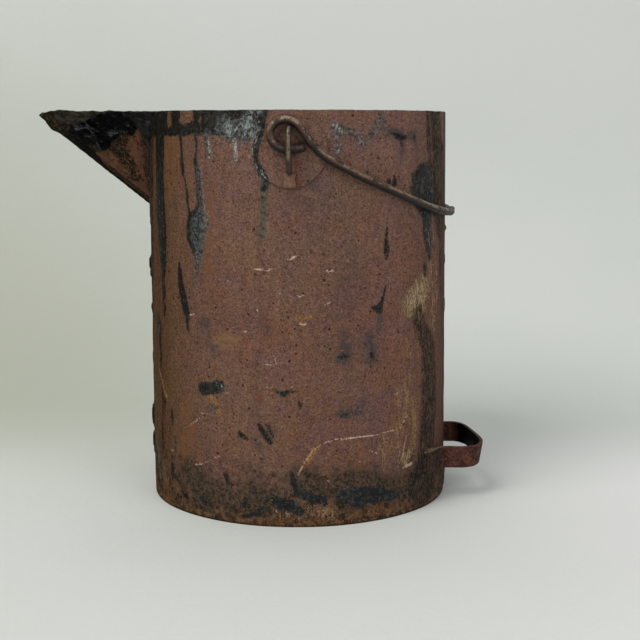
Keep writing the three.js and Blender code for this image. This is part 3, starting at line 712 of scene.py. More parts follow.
# ------------------------------------------------------------------ the spout
# Outlines in x,z of what covers the outside of the cheeks: folded tar, smooth tar, brown crust at
# the tip, specks below the tar, dirt beside the wall, and the dull strip under the rim.
SPOUT_MARKS = dict(zip(("thick", "soft", "crust", "crackle", "junction", "lip"), table("""
-187.9,301.7 -175.7,305.4 -159.4,305.8 -139,306.6 -126.8,305 -121,300.9 -121.9,292.7
-127.6,287.8 -137.4,287.8 -144.7,283.7 -150.4,276.3 -157.7,275.5 -166.7,280.4 -176.5,283.7
-187.9,290.2 -194.4,294.3;
-132.5,309.1 -98.2,309.1 -99.8,289.4 -108,282.9 -112.1,279.6 -117.8,285.3 -121.9,291.9
-125.9,298.4 -130.8,303.4;
-209.1,309.1 -183,309.1 -178.1,300.9 -183,287.8 -194.4,289.4 -204.2,297.6;
-191.2,296 -168.3,291.1 -145.5,289.4 -130,288.6 -133.3,276.3 -129.2,266.5 -124.3,251.7
-130.8,250.1 -139,262.4 -148.8,273 -156.9,274.7 -168.3,273 -179.8,281.2;
-122.7,299.3 -108,299.3 -108,223.8 -117.8,230.4 -121.9,250.1 -121,274.7;
-192.4,309 -140.6,309 -140.6,304.6 -147.1,303.8 -156.9,301.7 -165.1,298.8 -173.2,297.2
-183,297.6 -190.5,296.4 -194,301""")))
# Lumps above the rim: x, spread, height.
RIM_LUMPS = ((-197, 6, 1.0), (-190, 7, 1.7), (-184, 6, 1.3), (-169, 6, 0.6), (-161, 5, 0.9),
             (-146, 6, 0.8), (-139, 5, 0.5), (-128, 7, 0.3))


def cheek(share, across, shift, end_radius):
    """Points of the V: share 0 tip to 1 wall; across -1 near rim, 0 keel, 1 far rim."""
    rise = np.clip(np.sqrt(across * across + 0.0016) - 0.04 * (1 - abs(across)), 0, 1)
    apex = APEX_X + shift
    keel_tip = HEIGHT - KEEL_SLOPE * (TIP_X - apex)
    z_tip = keel_tip + (HEIGHT - keel_tip) * rise
    y_tip = CHEEK * (z_tip - keel_tip)
    keel_wall = HEIGHT - KEEL_SLOPE * (-end_radius - apex)
    z_wall = keel_wall + (HEIGHT - keel_wall) * rise
    # the cheek's plane meets the wall's circle at this height: a quadratic in x
    offset = CHEEK * (z_wall - HEIGHT - KEEL_SLOPE * apex)
    square, linear_part = 1 + (CHEEK * KEEL_SLOPE) ** 2, 2 * CHEEK * KEEL_SLOPE * offset
    root = np.sqrt(np.maximum(linear_part**2 - 4 * square * (offset**2 - end_radius**2), 0))
    x_wall = (-linear_part - root) / (2 * square)
    y_wall = np.maximum(CHEEK * (z_wall - HEIGHT + KEEL_SLOPE * (x_wall - apex)), 0)
    y = y_tip + share * (y_wall - y_tip)
    return np.stack([TIP_X + share * (x_wall - TIP_X), np.sign(across) * y,
                     z_tip + share * (z_wall - z_tip)], -1)


def spout_caps(stations, loop, face, rim):
    """End faces: a strip between the outer and inner faces, and fans over the two rims."""
    caps = []
    for start in (0, (stations - 1) * loop):
        outer = start + np.arange(face)
        inner = start + face + rim + np.arange(face)[::-1]
        strip = np.stack([outer[:-1], inner[:-1], inner[1:], outer[1:]], 1)
        near_rim, end, after = outer[-1], start + face, start + loop
        caps += [
            strip[:, ::-1] if start else strip,
            np.array([[near_rim, inner[-1], end + 2], [near_rim, end + 2, end + 1],
                      [near_rim, end + 1, end]]),
            np.array([[outer[0], after - 3, inner[0]], [outer[0], after - 2, after - 3],
                      [outer[0], after - 1, after - 2]]),
        ]
    return caps


def build_spout():
    """One folded V sheet with tar over it. Each section is a closed loop: across the outside
    from the -Y rim by the keel to the +Y rim, then back along the insides."""
    stations, rim = 128, 3
    shares = np.linspace(0, 1, stations)
    share, across = np.meshgrid(shares, np.linspace(-1, 1, 193), indexing="ij")
    outer = cheek(share, across, 0.0, RADIUS - 0.6)
    inner = cheek(share, across[:, ::-1], INNER_SHIFT, RADIUS - 1.0)
    face = outer.shape[1]
    blend = np.linspace(0, 1, rim + 2)[1:-1]
    rims = [np.stack([a[:, -1] * (1 - t) + b[:, 0] * t for t in blend], 1)
            for a, b in ((outer, inner), (inner, outer))]
    loop = np.concatenate([outer, rims[0], inner, rims[1]], 1)
    size = loop.shape[1]
    # 0 outside, 1 inside, 0.5 on the rims
    kind = np.tile(np.repeat([0, 0.5, 1, 0.5], [face, rim, face, rim]), stations)
    on_rim, outside = kind == 0.5, kind < 0.75
    share = np.repeat(shares, size)
    base = loop.reshape(-1, 3)
    x, y, z = base.T

    # outward direction of each face
    fall = -CHEEK * KEEL_SLOPE
    side = np.sign(y) + (y == 0)
    outward = np.stack([np.full(len(base), fall), side, np.full(len(base), -CHEEK)], 1)
    flat_keel = smooth(abs(y), 3.0, 0.0)[:, None]
    outward = outward * (1 - flat_keel) + flat_keel * np.array([fall * 1.4, 0.0, -CHEEK * 1.8])
    outward /= np.linalg.norm(outward, axis=1)[:, None]
    outward[kind == 1.0] *= -1
    outward[on_rim] = [0, 0, 1]

    ragged_x = x + 1.9 * noise(base, 7, 61) + 1.0 * noise(base, 3, 77)
    ragged_z = z + 1.9 * noise(base, 7, 62) + 1.0 * noise(base, 3, 78)
    depth = {name: outline_depth(ragged_x, ragged_z, outline)
             for name, outline in SPOUT_MARKS.items()}

    # folds of tar that sagged along the cheek
    warp = base + 6.0 * np.stack([noise(base, 20, seed) for seed in (63, 64, 65)], 1)
    along = 0.97 * warp[:, 0] - 0.24 * warp[:, 2]
    fold = np.stack([0.24 * along, 0.8 * warp[:, 1], 0.24 * warp[:, 0] + 0.97 * warp[:, 2]], 1)
    big = np.clip(0.55 + 0.9 * noise(base, 13, 79), 0, 1)
    ridge = (1 - abs(noise(fold, 7.0, 66))) ** 2.5 * big
    small_ridge = (1 - abs(noise(fold * [1.6, 1, 1], 3.2, 67))) ** 3 * (1 - 0.5 * big)
    speck = np.clip(0.25 + 1.1 * fractal(base, 4.6, octaves=3, gain=0.65, seed=71), 0, 1.6)
    keel_edge = smooth(-z + keel_inner(x) + 1.5, -3.5, 0.5)
    height = np.maximum.reduce([
        smooth(depth["thick"], -1.5, 4.0) * (0.5 + 2.6 * ridge + 1.1 * small_ridge),
        smooth(depth["soft"], -1, 5) * (1.5 + 0.5 * noise(base, 15, 68)),
        smooth(depth["crust"], -1, 4)
        * (0.6 + 1.5 * abs(noise(base, 6.5, 69)) + 0.8 * abs(noise(base, 2.8, 70))),
        smooth(depth["crackle"], -2, 3) * speck * 0.9,
        keel_edge * (0.25 + 0.5 * np.clip(noise(base, 3.4, 72), 0, 1)),
    ])
    # weld and tar along the joint with the wall
    joint = smooth(share, 0.962, 1.0) * (1.3 + 0.6 * noise(base, 5, 73))
    height = height + joint * (kind < 0.25) * smooth(z, 226, 234)
    # tar left inside
    left = np.clip(fractal(base, 9, octaves=3, gain=0.6, seed=74), 0, 1)
    inside = 0.5 + 1.3 * ridge * smooth(z, 300, 285) + 0.7 * left
    inside *= smooth(share, 1.0, 0.9) * 0.8 + 0.2
    lift = np.where(kind == 1.0, inside, np.where(on_rim, 0, height))

    points = base + outward * lift[:, None]
    bulge = np.maximum.reduce([tall * np.exp(-(((x - centre) / spread) ** 2))
                               for centre, spread, tall in RIM_LUMPS])
    crest = bulge + 0.35 * noise(base * [1, 0.4, 0], 5, 75) - 0.25
    points[:, 2] += smooth(z, 296, 305) * crest * smooth(share, 1.0, 0.85)
    # the tip: crusted, ragged, a little forward of the sheet
    rise = np.clip((z - 297.7) / 7.3, 0, 1)
    forward = 4.8 * np.exp(-(((rise - 0.74) / 0.34) ** 2)) - 1.2
    forward = forward + 0.6 * noise(base * [0, 1, 1], 3.2, 76)
    points[:, 0] -= smooth(share, 0.07, 0.0) * forward
    sag = smooth(share, 0.16, 0.05) * smooth(share, -0.02, 0.05)
    points[:, 2] -= sag * smooth(-z + keel_inner(x) + 6, -3, 3) * 2.2

    def shown(values):
        return np.clip(np.where(outside, values, -8), -8, 8)

    above_keel = z - HEIGHT + KEEL_SLOPE * (x - APEX_X)
    faces = [grid_faces(stations, size, wrap_columns=True)]
    return solid(
        "spout_fold", points, faces + spout_caps(stations, size, face, rim),
        thick=shown(np.maximum(depth["thick"], depth["crust"] - 1)),
        soft=shown(depth["soft"]),
        crackle=shown(depth["crackle"]),
        crust=shown(depth["crust"]),
        junction=shown(np.maximum(depth["junction"], -4 + 8 * keel_edge)),
        lip=shown(depth["lip"]),
        keel=np.clip(np.where(outside, above_keel, 20), 0, 20),
        inner=(kind > 0.75).astype(float),
        ridge=np.clip(np.where(outside, ridge, ridge * 0.8), 0, 1),
    )


# ------------------------------------------------------------------ ears; side is -1 near, 1 far
PLATE_FRONT, PLATE_BACK = 119.75, 117.4   # radii of its two faces
# Hammered edge of the plate: share of its radius, radius from the pot's axis.
PLATE_EDGE = [(0.975, 119.65), (0.99, 119.35), (1.0, 118.8), (1.004, 118.2), (1.0, 117.7),
              (0.985, 117.45)]


def build_plate(name, side):
    """A disc bent to the wall, its back edge sunk into the wall."""
    spokes = 168
    angle = turn(spokes)
    rough = noise(np.stack([9 * np.cos(angle), 9 * np.sin(angle), angle * 0 + side], 1), 5, 81)
    edge = (EAR_RADIUS + 0.35 * rough)[:, None]
    rows = [(s, PLATE_FRONT) for s in np.linspace(0.05, 0.955, 26)] + PLATE_EDGE
    rows += [(s, PLATE_BACK) for s in np.linspace(0.9, 0.05, 8)]
    share, radius = np.array(rows).T
    centre = 0.0 if side < 0 else 180.0
    phi = np.degrees((edge * np.cos(angle)[:, None] * share).ravel() / RADIUS) + centre
    z = np.minimum(EAR_Z + (edge * np.sin(angle)[:, None] * share).ravel(), HEIGHT - 0.6)
    radius = np.tile(radius, spokes)
    spots = on_wall(phi, z)
    dent = 0.12 * noise(spots, 9, 82) + 0.18 * noise(spots, 22, 83)
    radius = radius + np.where(radius > 118.9, dent, 0)
    phi = np.concatenate([phi, [centre, centre]])
    z = np.concatenate([z, [EAR_Z, EAR_Z]])
    radius = np.concatenate([radius, [PLATE_FRONT, PLATE_BACK]])
    points = ride_wobble(on_wall(phi, z, radius))
    depths = mark_depths(phi, z)
    points[:, :2] *= (1 + tar_height(depths, phi, z) * (radius > 118.9) / RADIUS)[:, None]
    return solid(name, points, disc_faces(spokes, len(rows)), **mark_attributes(depths, phi, z))


STAPLE_Z = 291.6                  # where the rod goes through the wall
TAIL_LOW, TAIL_HIGH = 250.2, 261.2
# Centre line of the rod: distance from the axis, z.
STAPLE = [(115.0, STAPLE_Z), (120, STAPLE_Z), (124.6, STAPLE_Z), (128.4, 291.1), (130.8, 288.6),
          (131.4, 284.6), (131.4, 278), (130.4, 272), (127.6, 267), (124.4, 263.2),
          (122.6, 260.9), (122.0, 259.2)]
# Head inside the pot: its radius, distance from the axis.
STAPLE_HEAD = [(0.4, 113.55), (2.2, 113.6), (3.4, 113.9), (4.05, 114.4), (4.2, 115.0),
               (4.1, 115.6), (3.6, 116.0), (1.0, 116.0)]


def build_staple(name, side):
    """Round rod through the plate and wall, peened inside, its lower end hammered flat."""
    path, distance = smooth_path([(0, side * y, z) for y, z in STAPLE], per_span=10, step=0.55)
    radius = 2.2 + 0.10 * noise(path, 6, 85) + 0.07 * noise(path, 2.2, 86)
    radius = radius * end_taper(distance[-1] - distance, reach=2.2, full=2.25, least=0.02)
    # worn thinner where the bail hangs
    radius = radius * (1 - 0.05 * np.exp(-((path[:, 2] - 284) / 5) ** 2))
    rod = rod_rings(path, (1, 0, 0), 22, radius)

    angle = turn(28)
    head = np.stack([np.stack([r * (1 + 0.05 * np.sin(3 * angle + 1)) * np.cos(angle),
                               np.full(28, side * y), STAPLE_Z + r * np.sin(angle)], 1)
                     for r, y in STAPLE_HEAD])

    cosine, sine = np.cos(turn(36)), np.sin(turn(36))
    tail = []
    for z in np.linspace(TAIL_LOW, TAIL_HIGH, 26):
        to_end = min(z - TAIL_LOW, TAIL_HIGH - z)
        shrink = math.sqrt(max(0.03, 1 - (max(0, 1.3 - to_end) / 1.32) ** 2))
        half_width = (4.25 + 0.25 * math.sin(z * 0.9)) * (0.80 + 0.20 * shrink)
        x = half_width * np.sign(cosine) * abs(cosine) ** 0.45
        y = 1.25 * shrink * np.sign(sine) * abs(sine) ** 0.6
        tail.append(np.stack([x, side * (121.0 + y), np.full(36, z)], 1))
    tail = np.array(tail)
    flat = tail.reshape(-1, 3)
    dents = np.stack([0.28 * noise(flat, 4, 87), side * 0.22 * noise(flat, 3, 88),
                      0.2 * noise(flat, 4, 89)], 1)
    tail = (flat + dents).reshape(tail.shape)

    points, faces, is_tail = np.zeros((0, 3)), [], []
    for rings in (rod, head, tail):
        part, part_faces = closed_tube(rings)
        faces += [group + len(points) for group in part_faces]
        points = np.vstack([points, part])
        is_tail += [float(rings is tail)] * len(part)
    return solid(name, ride_wobble(points), faces, tail=is_tail)


# ------------------------------------------------------------------ the bail
HINGE_X, HINGE_Z = -2.3, 287.8
EYE_Y, REACH, DROP = 124.4, 138.4, math.radians(25.8)   # y of the eyes, length, angle below level
# The bent eye: x and z from the hinge.
EYE = [(14, -9), (11, -9.7), (7.2, -10.5), (3, -10.9), (-1.4, -10.5), (-5.6, -9), (-8.9, -6.1),
       (-10.7, -2.3), (-10.9, 1.9), (-9.2, 5.8), (-5.9, 8.6), (-1.7, 10.1), (2.8, 9.7),
       (6.9, 7.7), (10.3, 4.4), (13.5, 0.3), (17, -5)]
# The arm: distance out from the hinge and height above the bail's plane.
ARM = [(23.4, 0.2), (29.8, -1.6), (37.5, -2.7), (47, -3.2), (58, -3.7), (70, -3.7), (84, -3.5),
       (98, -3.4), (111, -3.3), (122, -2.9), (130.5, -2.1), (136.4, -1.2)]


def build_bail():
    cosine, sine = math.cos(DROP), math.sin(DROP)

    def place(along, up, y):
        return HINGE_X + along * cosine + up * sine, y, HINGE_Z - along * sine + up * cosine

    half = [(HINGE_X + x, -EYE_Y, HINGE_Z + z) for x, z in EYE]
    half += [place(along, up, -EYE_Y * math.sqrt(1 - (along / REACH) ** 2)) for along, up in ARM]
    other = [(x, -y, z) for x, y, z in half][::-1]
    path, distance = smooth_path(half + [place(REACH, -0.8, 0)] + other, per_span=14, step=0.8)
    sides = 26
    to_end = np.minimum(distance, distance[-1] - distance)
    radius = 2.86 + 0.05 * noise(path, 20, 91) + 0.05 * noise(path, 5, 92)
    radius = radius * end_taper(to_end, reach=1.6, full=1.75, least=0.05)
    rings = rod_rings(path, (0, 1, 0), sides, radius)
    points = rings.reshape(-1, 3)
    out = points - np.repeat(path, sides, 0)
    out = out / np.maximum(np.linalg.norm(out, axis=1), 1e-6)[:, None]
    # rust scale, then tar smeared over the crown, on the side away from the wall
    from_axis = points / np.linalg.norm(points * [1, 1, 0], axis=1)[:, None]
    outer_side = smooth((out * from_axis * [1, 1, 0]).sum(1), -0.25, 0.5)
    smear = np.clip(0.35 + 0.9 * fractal(points, 7, octaves=3, gain=0.6, seed=95), 0, 1.3)
    tar = smooth(points[:, 0], 97, 116) * smear
    lift = 0.05 * noise(points, 2.2, 93) + 0.03 * noise(points, 1.1, 94) + tar * outer_side * 0.75
    # one lump on top of the crown
    lump = np.exp(-((points[:, 1] + 2) / 5) ** 2) * np.exp(-((out[:, 2] - 0.75) / 0.4) ** 2)
    lump = lump * smooth(points[:, 0], 110, 118)
    lift = lift + 1.1 * lump
    points = points + out * lift[:, None]
    # under tells how far each point faces down; the material uses it to paint shade beneath the rod
    # and a highlight along its top
    return solid("bail_rod", *closed_tube(points.reshape(rings.shape)),
                 tar=np.concatenate([tar + 1.2 * lump, [0, 0]]),
                 under=np.concatenate([-out[:, 2], [0, 0]]))


# ------------------------------------------------------------------ the tipping handle
STRAP_LOW = 26.5                              # z of its lower edge
HALF_THICK, HALF_TALL, ROUND = 1.5, 8.6, 0.85  # half section and its corner radius
TAB_RADIUS = RADIUS + 0.35 + HALF_THICK
# Centre line of the loop between the two tabs: x, y.
STRAP = [(112.2, -44.7), (115.2, -43.3), (119.5, -42.9), (126, -42.9), (132.6, -42.9),
         (137.6, -41.3), (142, -37.6), (145.1, -31.4), (146.9, -22), (146.5, -11), (145.2, 0),
         (143.8, 11), (142, 22), (139.4, 31.3), (135.6, 38), (131.2, 41.7), (125.4, 42.9),
         (119.5, 42.9), (115.2, 43.3), (112.2, 44.7)]


def strap_section():
    """Rounded rectangle, with stations about 0.9 mm apart along its straight sides."""
    corners = []
    for sign_x, sign_z, start in ((1, 1, 0), (-1, 1, 90), (-1, -1, 180), (1, -1, 270)):
        for degrees in np.linspace(start, start + 90, 6):
            angle = math.radians(degrees)
            corners.append((sign_x * (HALF_THICK - ROUND) + ROUND * math.cos(angle),
                            sign_z * (HALF_TALL - ROUND) + ROUND * math.sin(angle)))
    corners = np.array(corners)
    ring = []
    for here, after in zip(corners, np.roll(corners, -1, axis=0)):
        ring.append(here)
        parts = max(1, int(round(np.linalg.norm(after - here) / 0.9)))
        ring += [here + (after - here) * t for t in np.linspace(0, 1, parts + 1)[1:-1]]
    return np.array(ring)


def build_strap():
    angles = np.radians(np.linspace(31.4, 24.2, 7))
    line = [(TAB_RADIUS * math.cos(a), -TAB_RADIUS * math.sin(a)) for a in angles] + STRAP
    line += [(TAB_RADIUS * math.cos(a), TAB_RADIUS * math.sin(a)) for a in angles[::-1]]
    path, distance = smooth_path([(x, y, 0) for x, y in line], per_span=12, step=0.7)
    tangent = path_tangents(path)
    normal = np.stack([-tangent[:, 1], tangent[:, 0], np.zeros(len(path))], 1)
    ring = strap_section()
    to_end = np.minimum(distance, distance[-1] - distance)
    thin = end_taper(to_end, reach=1.0, full=1.02, least=0.03)
    cut = np.clip(3.0 - to_end, 0, 3.0)
    tall = 1 - (3.0 - np.sqrt(np.clip(9.0 - cut**2, 0, 9))) / HALF_TALL * 0.55
    offset = ring[None] * np.stack([thin, tall], -1)[:, None]
    points = path[:, None] + offset[..., :1] * normal[:, None]
    points = (points + offset[..., 1:] * np.array([0, 0, 1.0])).reshape(-1, 3)
    # the outer bar leans, differently at its two ends
    lean = 0.16 + (-0.1 - 0.16) * smooth(points[:, 1], -20, 30)
    points[:, 0] += smooth(points[:, 0], 124, 142) * lean * points[:, 2]
    middle_z = STRAP_LOW + HALF_TALL
    points[:, 2] += middle_z
    # dents and a slightly wandering edge
    centre = np.repeat(path, len(ring), 0)
    points[:, 2] += 0.35 * noise(centre, 30, 101) + 0.12 * noise(points, 5, 102)
    out = points - (centre + [0, 0, middle_z])
    out[:, 2] = 0
    out /= np.maximum(np.linalg.norm(out, axis=1), 0.05)[:, None]
    points += out * (0.09 * noise(points, 7, 103) + 0.05 * noise(points, 2.4, 104))[:, None]
    # the loop's inner face, towards the wall, holds old tar, darkened further with painted shade
    face = np.tile((ring[:, 0] > 1.2).astype(float), len(path))
    tar_and_shade_inside_loop = face * smooth(centre[:, 0], 121, 131) * smooth(centre[:, 1], 44, 34) * 0.9
    rings = ride_wobble(points).reshape(len(path), len(ring), 3)
    return solid("handle_strap", *closed_tube(rings), loop=np.concatenate([tar_and_shade_inside_loop, [0, 0]]))


def build_weld(name, side):
    """A short bead along the end, lower and upper edge of one of the strap's tabs."""
    start, stop = math.radians(31.6), math.radians(24.0)
    low, high = STRAP_LOW + 0.1, 43.6
    line = [(start - 0.10, low - 0.1), (start - 0.05, low - 0.1), (start - 0.02, low + 0.2)]
    line += [(start + 0.004, z) for z in np.linspace(low + 1, high - 1, 9)]
    line += [(start - 0.02, high - 0.2), (start - 0.05, high + 0.1), (stop + 0.02, high + 0.1)]
    reach = RADIUS + 0.5
    line = [(reach * math.cos(a), side * reach * math.sin(a), z) for a, z in line]
    path, distance = smooth_path(line, per_span=8, step=0.45)
    to_end = np.minimum(distance, distance[-1] - distance)
    radius = 1.25 + 0.125 * np.sin(distance * 2.4) + 0.2 * noise(path, 3, 111)
    radius = radius * end_taper(to_end, reach=1.2, full=1.25, least=0.05)
    points, faces = closed_tube(rod_rings(path, (0, 0, 1), 16, radius))
    return solid(name, ride_wobble(points), faces)


# ------------------------------------------------------------------ material kit
def linear(colour):
    """An 8-bit display colour as linear light."""
    shares = [channel / 255 for channel in colour]
    return (*(s / 12.92 if s <= 0.04045 else ((s + 0.055) / 1.055) ** 2.4 for s in shares), 1.0)


class Value:
    """A node's output that can be added, subtracted and multiplied."""

    def __init__(self, socket):
        self.socket = socket

    def __add__(self, other): return math_node("ADD", self, other)
    def __radd__(self, other): return math_node("ADD", other, self)
    def __sub__(self, other): return math_node("SUBTRACT", self, other)
    def __rsub__(self, other): return math_node("SUBTRACT", other, self)
    def __mul__(self, other): return math_node("MULTIPLY", self, other)
    def __rmul__(self, other): return math_node("MULTIPLY", other, self)


class Skin:
    """A material whose colour is built up in layers. New nodes go to the latest Skin's tree."""

    def __init__(self, name):
        global tree, point
        self.material = bpy.data.materials.new(name)
        self.material.use_nodes = True
        tree = self.material.node_tree
        tree.nodes.clear()
        output = tree.nodes.new("ShaderNodeOutputMaterial")
        self.shader = tree.nodes.new("ShaderNodeBsdfPrincipled")
        tree.links.new(self.shader.outputs[0], output.inputs[0])
        place = tree.nodes.new("ShaderNodeTexCoord")
        point = vector_node("SCALE", Value(place.outputs["Object"]), 1000.0)  # in mm

    def paint(self, mask, colour):
        self.colour = mix(mask, self.colour, colour)

    def shade(self, factor):
        self.colour = vector_node("SCALE", self.colour, factor)

    def finish(self, rough, height, distance, spec, metal=0.0):
        """Sets the surface; `distance` is the bump depth in metres."""
        bump = tree.nodes.new("ShaderNodeBump")
        bump.inputs["Strength"].default_value = 1.0
        bump.inputs["Distance"].default_value = distance
        put(bump.inputs["Height"], height)
        for name, value in (("Base Color", self.colour), ("Roughness", rough),
                            ("Metallic", metal), ("Specular IOR Level", spec),
                            ("Normal", Value(bump.outputs[0]))):
            put(self.shader.inputs[name], value)
        return self.material


def put(socket, value):
    """Links a Value or sets a constant; a tuple on a colour socket is an 8-bit colour."""
    if isinstance(value, Value):
        tree.links.new(value.socket, socket)
    else:
        socket.default_value = linear(value) if socket.type == "RGBA" else value


def math_node(operation, first, second=0.0):
    node = tree.nodes.new("ShaderNodeMath")
    node.operation = operation
    put(node.inputs[0], first)
    put(node.inputs[1], second)
    node.inputs[2].default_value = 0.0
    return Value(node.outputs[0])


def absolute(value):
    return math_node("ABSOLUTE", value)


def vector_node(operation, first, second):
    node = tree.nodes.new("ShaderNodeVectorMath")
    node.operation = operation
    put(node.inputs[0], first)
    put(node.inputs["Scale"] if operation == "SCALE" else node.inputs[1], second)
    return Value(node.outputs[0])


def pattern_node(kind, size, scale, seed):
    """A texture with features of `size` mm; a small part of `scale` draws them out that way."""
    node = tree.nodes.new(kind)
    stretched = vector_node("MULTIPLY", point, scale)
    shift = (seed * 31.7, seed * 17.3, seed * 53.9)
    put(node.inputs["Vector"], vector_node("ADD", stretched, shift))
    node.inputs["Scale"].default_value = 1.0 / size
    return node


def texture(size, detail=3, rough=0.7, scale=(1, 1, 1), seed=0, warp=0.0):
    node = pattern_node("ShaderNodeTexNoise", size, scale, seed)
    node.inputs["Detail"].default_value = detail
    node.inputs["Roughness"].default_value = rough
    node.inputs["Distortion"].default_value = warp
    return Value(node.outputs["Fac"])


def cells(size, scale=(1, 1, 1), seed=0):
    """Distance to the nearest cell's centre, and two random numbers of that cell."""
    node = pattern_node("ShaderNodeTexVoronoi", size, scale, seed)
    first, second, _ = split(Value(node.outputs["Color"]))
    return Value(node.outputs["Distance"]), first, second


def attr(name):
    node = tree.nodes.new("ShaderNodeAttribute")
    node.attribute_name = name
    return Value(node.outputs["Fac"])


def step(value, low, high):
    """Smooth step from 0 at `low` to 1 at `high`; `low` may be the larger."""
    node = tree.nodes.new("ShaderNodeMapRange")
    node.interpolation_type = "SMOOTHSTEP"
    put(node.inputs["Value"], value)
    node.inputs["From Min"].default_value = low
    node.inputs["From Max"].default_value = high
    return Value(node.outputs[0])


def mix(mask, under, over):
    """Mixes colours."""
    node = tree.nodes.new("ShaderNodeMix")
    node.data_type = "RGBA"
    for i, value in ((0, mask), (6, under), (7, over)):
        put(node.inputs[i], value)
    return Value(node.outputs[2])


def blend(mask, under, over):
    """Mixes numbers."""
    node = tree.nodes.new("ShaderNodeMix")
    for i, value in ((0, mask), (2, under), (3, over)):
        put(node.inputs[i], value)
    return Value(node.outputs[0])


def split(vector):
    node = tree.nodes.new("ShaderNodeSeparateXYZ")
    put(node.inputs[0], vector)
    return [Value(output) for output in node.outputs]


# ------------------------------------------------------------------ materials
def wall_material():
    skin = Skin("rusted_wall")
    paint, shade = skin.paint, skin.shade
    x, y, z = split(point)
    big = texture(75, detail=2, rough=0.5, seed=1)
    patch = texture(27, rough=0.6, seed=2)
    mid = texture(9, rough=0.62, seed=3)
    five = texture(4.6, seed=10)
    fine = texture(2.3, seed=4)
    grain = texture(1.25, detail=2, rough=0.75, seed=5)
    run = texture(5.5, rough=0.6, scale=(1, 1, 0.10), seed=6)
    thin_run = texture(2.2, rough=0.65, scale=(1, 1, 0.12), seed=7)
    ragged = (mid - 0.5) * 2.0 + (fine - 0.5) * 5.5 + (grain - 0.5) * 4.0

    # rust: purple-brown scale, red-brown, and an olive dust in patches
    scale = step(patch + 0.6 * (mid - 0.5) + 0.5 * (fine - 0.5), 0.38, 0.62)
    skin.colour = mix(scale, (113, 83, 75), (115, 82, 66))
    paint(step(big + 0.6 * (mid - 0.5), 0.46, 0.66) * 0.45, (114, 90, 70))
    paint(step(texture(15, rough=0.65, seed=8), 0.54, 0.70) * 0.28, (124, 80, 60))
    paint(step(texture(21, detail=4, seed=9), 0.54, 0.72) * 0.50, (92, 75, 71))
    # the flank towards the spout is browner and darker, the one towards the handle darker: partly the
    # rust's own tone, partly painted shade towards the outlines
    paint(step(x, -52, -100) * 0.85, (98, 72, 52))
    paint(step(x, -88, -106) * 0.75, (80, 55, 38))
    paint(step(x, 80, 112) * 0.7, (90, 65, 53))
    paint(step(z, 170, 250) * step(x, -70, -30) * 0.30, (118, 94, 86))
    # a little brighter towards the handle side above z 90: painted light
    shade(1.0 + 0.09 * step(x, 45, 75) * step(z, 70, 110))
    mottle = 1.0 + 0.7 * (five - 0.5) + 1.2 * (fine - 0.5) + 2.6 * (grain - 0.5) + 0.3 * (mid - 0.5)
    shade(math_node("MINIMUM", math_node("MAXIMUM", mottle, 0.38), 1.8))
    # fine yellow-brown grit
    grit = step(texture(1.4, detail=2, seed=11), 0.60, 0.70)
    paint(grit * 0.34, (146, 118, 98))
    # pits, some with a lighter ring, and smaller pits in patches
    distance, random1, random2 = cells(5.0, seed=12)
    pit = step(distance + (0.17 - 0.22 * random1) + 0.30 * (fine - 0.5), 0.20, 0.11)
    pit = pit * step(random2 + 0.9 * (patch - 0.5), 0.30, 0.50)
    paint(pit * 0.85, mix(step(random2, 0.4, 0.6), (30, 20, 19), (66, 28, 24)))
    ring = step(absolute(distance + (0.17 - 0.22 * random1) - 0.27), 0.07, 0.02)
    paint(ring * step(random2, 0.62, 0.70) * 0.4, (140, 92, 66))
    distance, random1, _ = cells(2.3, seed=14)
    small_pit = step(distance + (0.38 - 0.5 * random1), 0.22, 0.06)
    small_pit = small_pit * step(texture(18, rough=0.6, seed=15), 0.36, 0.60)
    paint(small_pit * 0.42, (50, 35, 31))
    # faint vertical wash
    shade(0.84 + 0.32 * run)

    # grime low down, and a lighter rust band at the very bottom
    low = step(z + 56 * (mid - 0.5) + 16 * (run - 0.5) + 24 * (five - 0.5), 54, 14)
    grime = step(texture(11, detail=4, rough=0.72, seed=16), 0.40, 0.60)
    paint(low * (0.30 + 0.85 * grime) * 0.85, (58, 49, 42))
    paint(low * step(texture(3.6, detail=4, rough=0.78, seed=17), 0.54, 0.61) * 0.80, (116, 92, 62))
    paint(low * step(texture(6.5, detail=4, rough=0.66, seed=30), 0.53, 0.58) * 0.88, (27, 26, 22))
    foot = step(z + 9 * (mid - 0.5) + 6 * (fine - 0.5), 7.5, 3.0)
    foot_spots = step(texture(3.6, rough=0.75, seed=18), 0.42, 0.60)
    paint(foot * 0.8, mix(foot_spots, (58, 42, 33), (122, 92, 62)))
    paint(step(z + 1.2 * (fine - 0.5), 2.1, 1.0) * 0.75, (38, 35, 26))
    # light and dark specks at the foot, away from the spout
    light = step(texture(1.9, rough=0.8, seed=44), 0.56, 0.66)
    light = light * step(z + 16 * (mid - 0.5), 24, 8) * step(x, -60, -10)
    paint(light * 0.85, (158, 108, 62))
    dark = step(texture(3.2, seed=46), 0.53, 0.60)
    dark = dark * step(z + 10 * (mid - 0.5), 20, 8) * step(x, -60, -10)
    paint(dark * 0.7, (40, 32, 26))
    # dark rings in the grime
    distance, random1, random2 = cells(6.2, scale=(1, 1, 0.75), seed=45)
    pock = step(absolute(distance + 0.25 * (fine - 0.5) - 0.10 - 0.16 * random1), 0.09, 0.03)
    paint(pock * step(random2, 0.50, 0.60) * low * 0.8, (28, 27, 21))

    def soft(name, high, rag, low):
        """Mask of a mark with an edge broken up by `rag` mm."""
        edge = attr(name) + rag * (mid - 0.5) * 2 + rag * (fine - 0.5) * 1.4
        return step(edge + rag * (grain - 0.5) * 0.6, low, high)

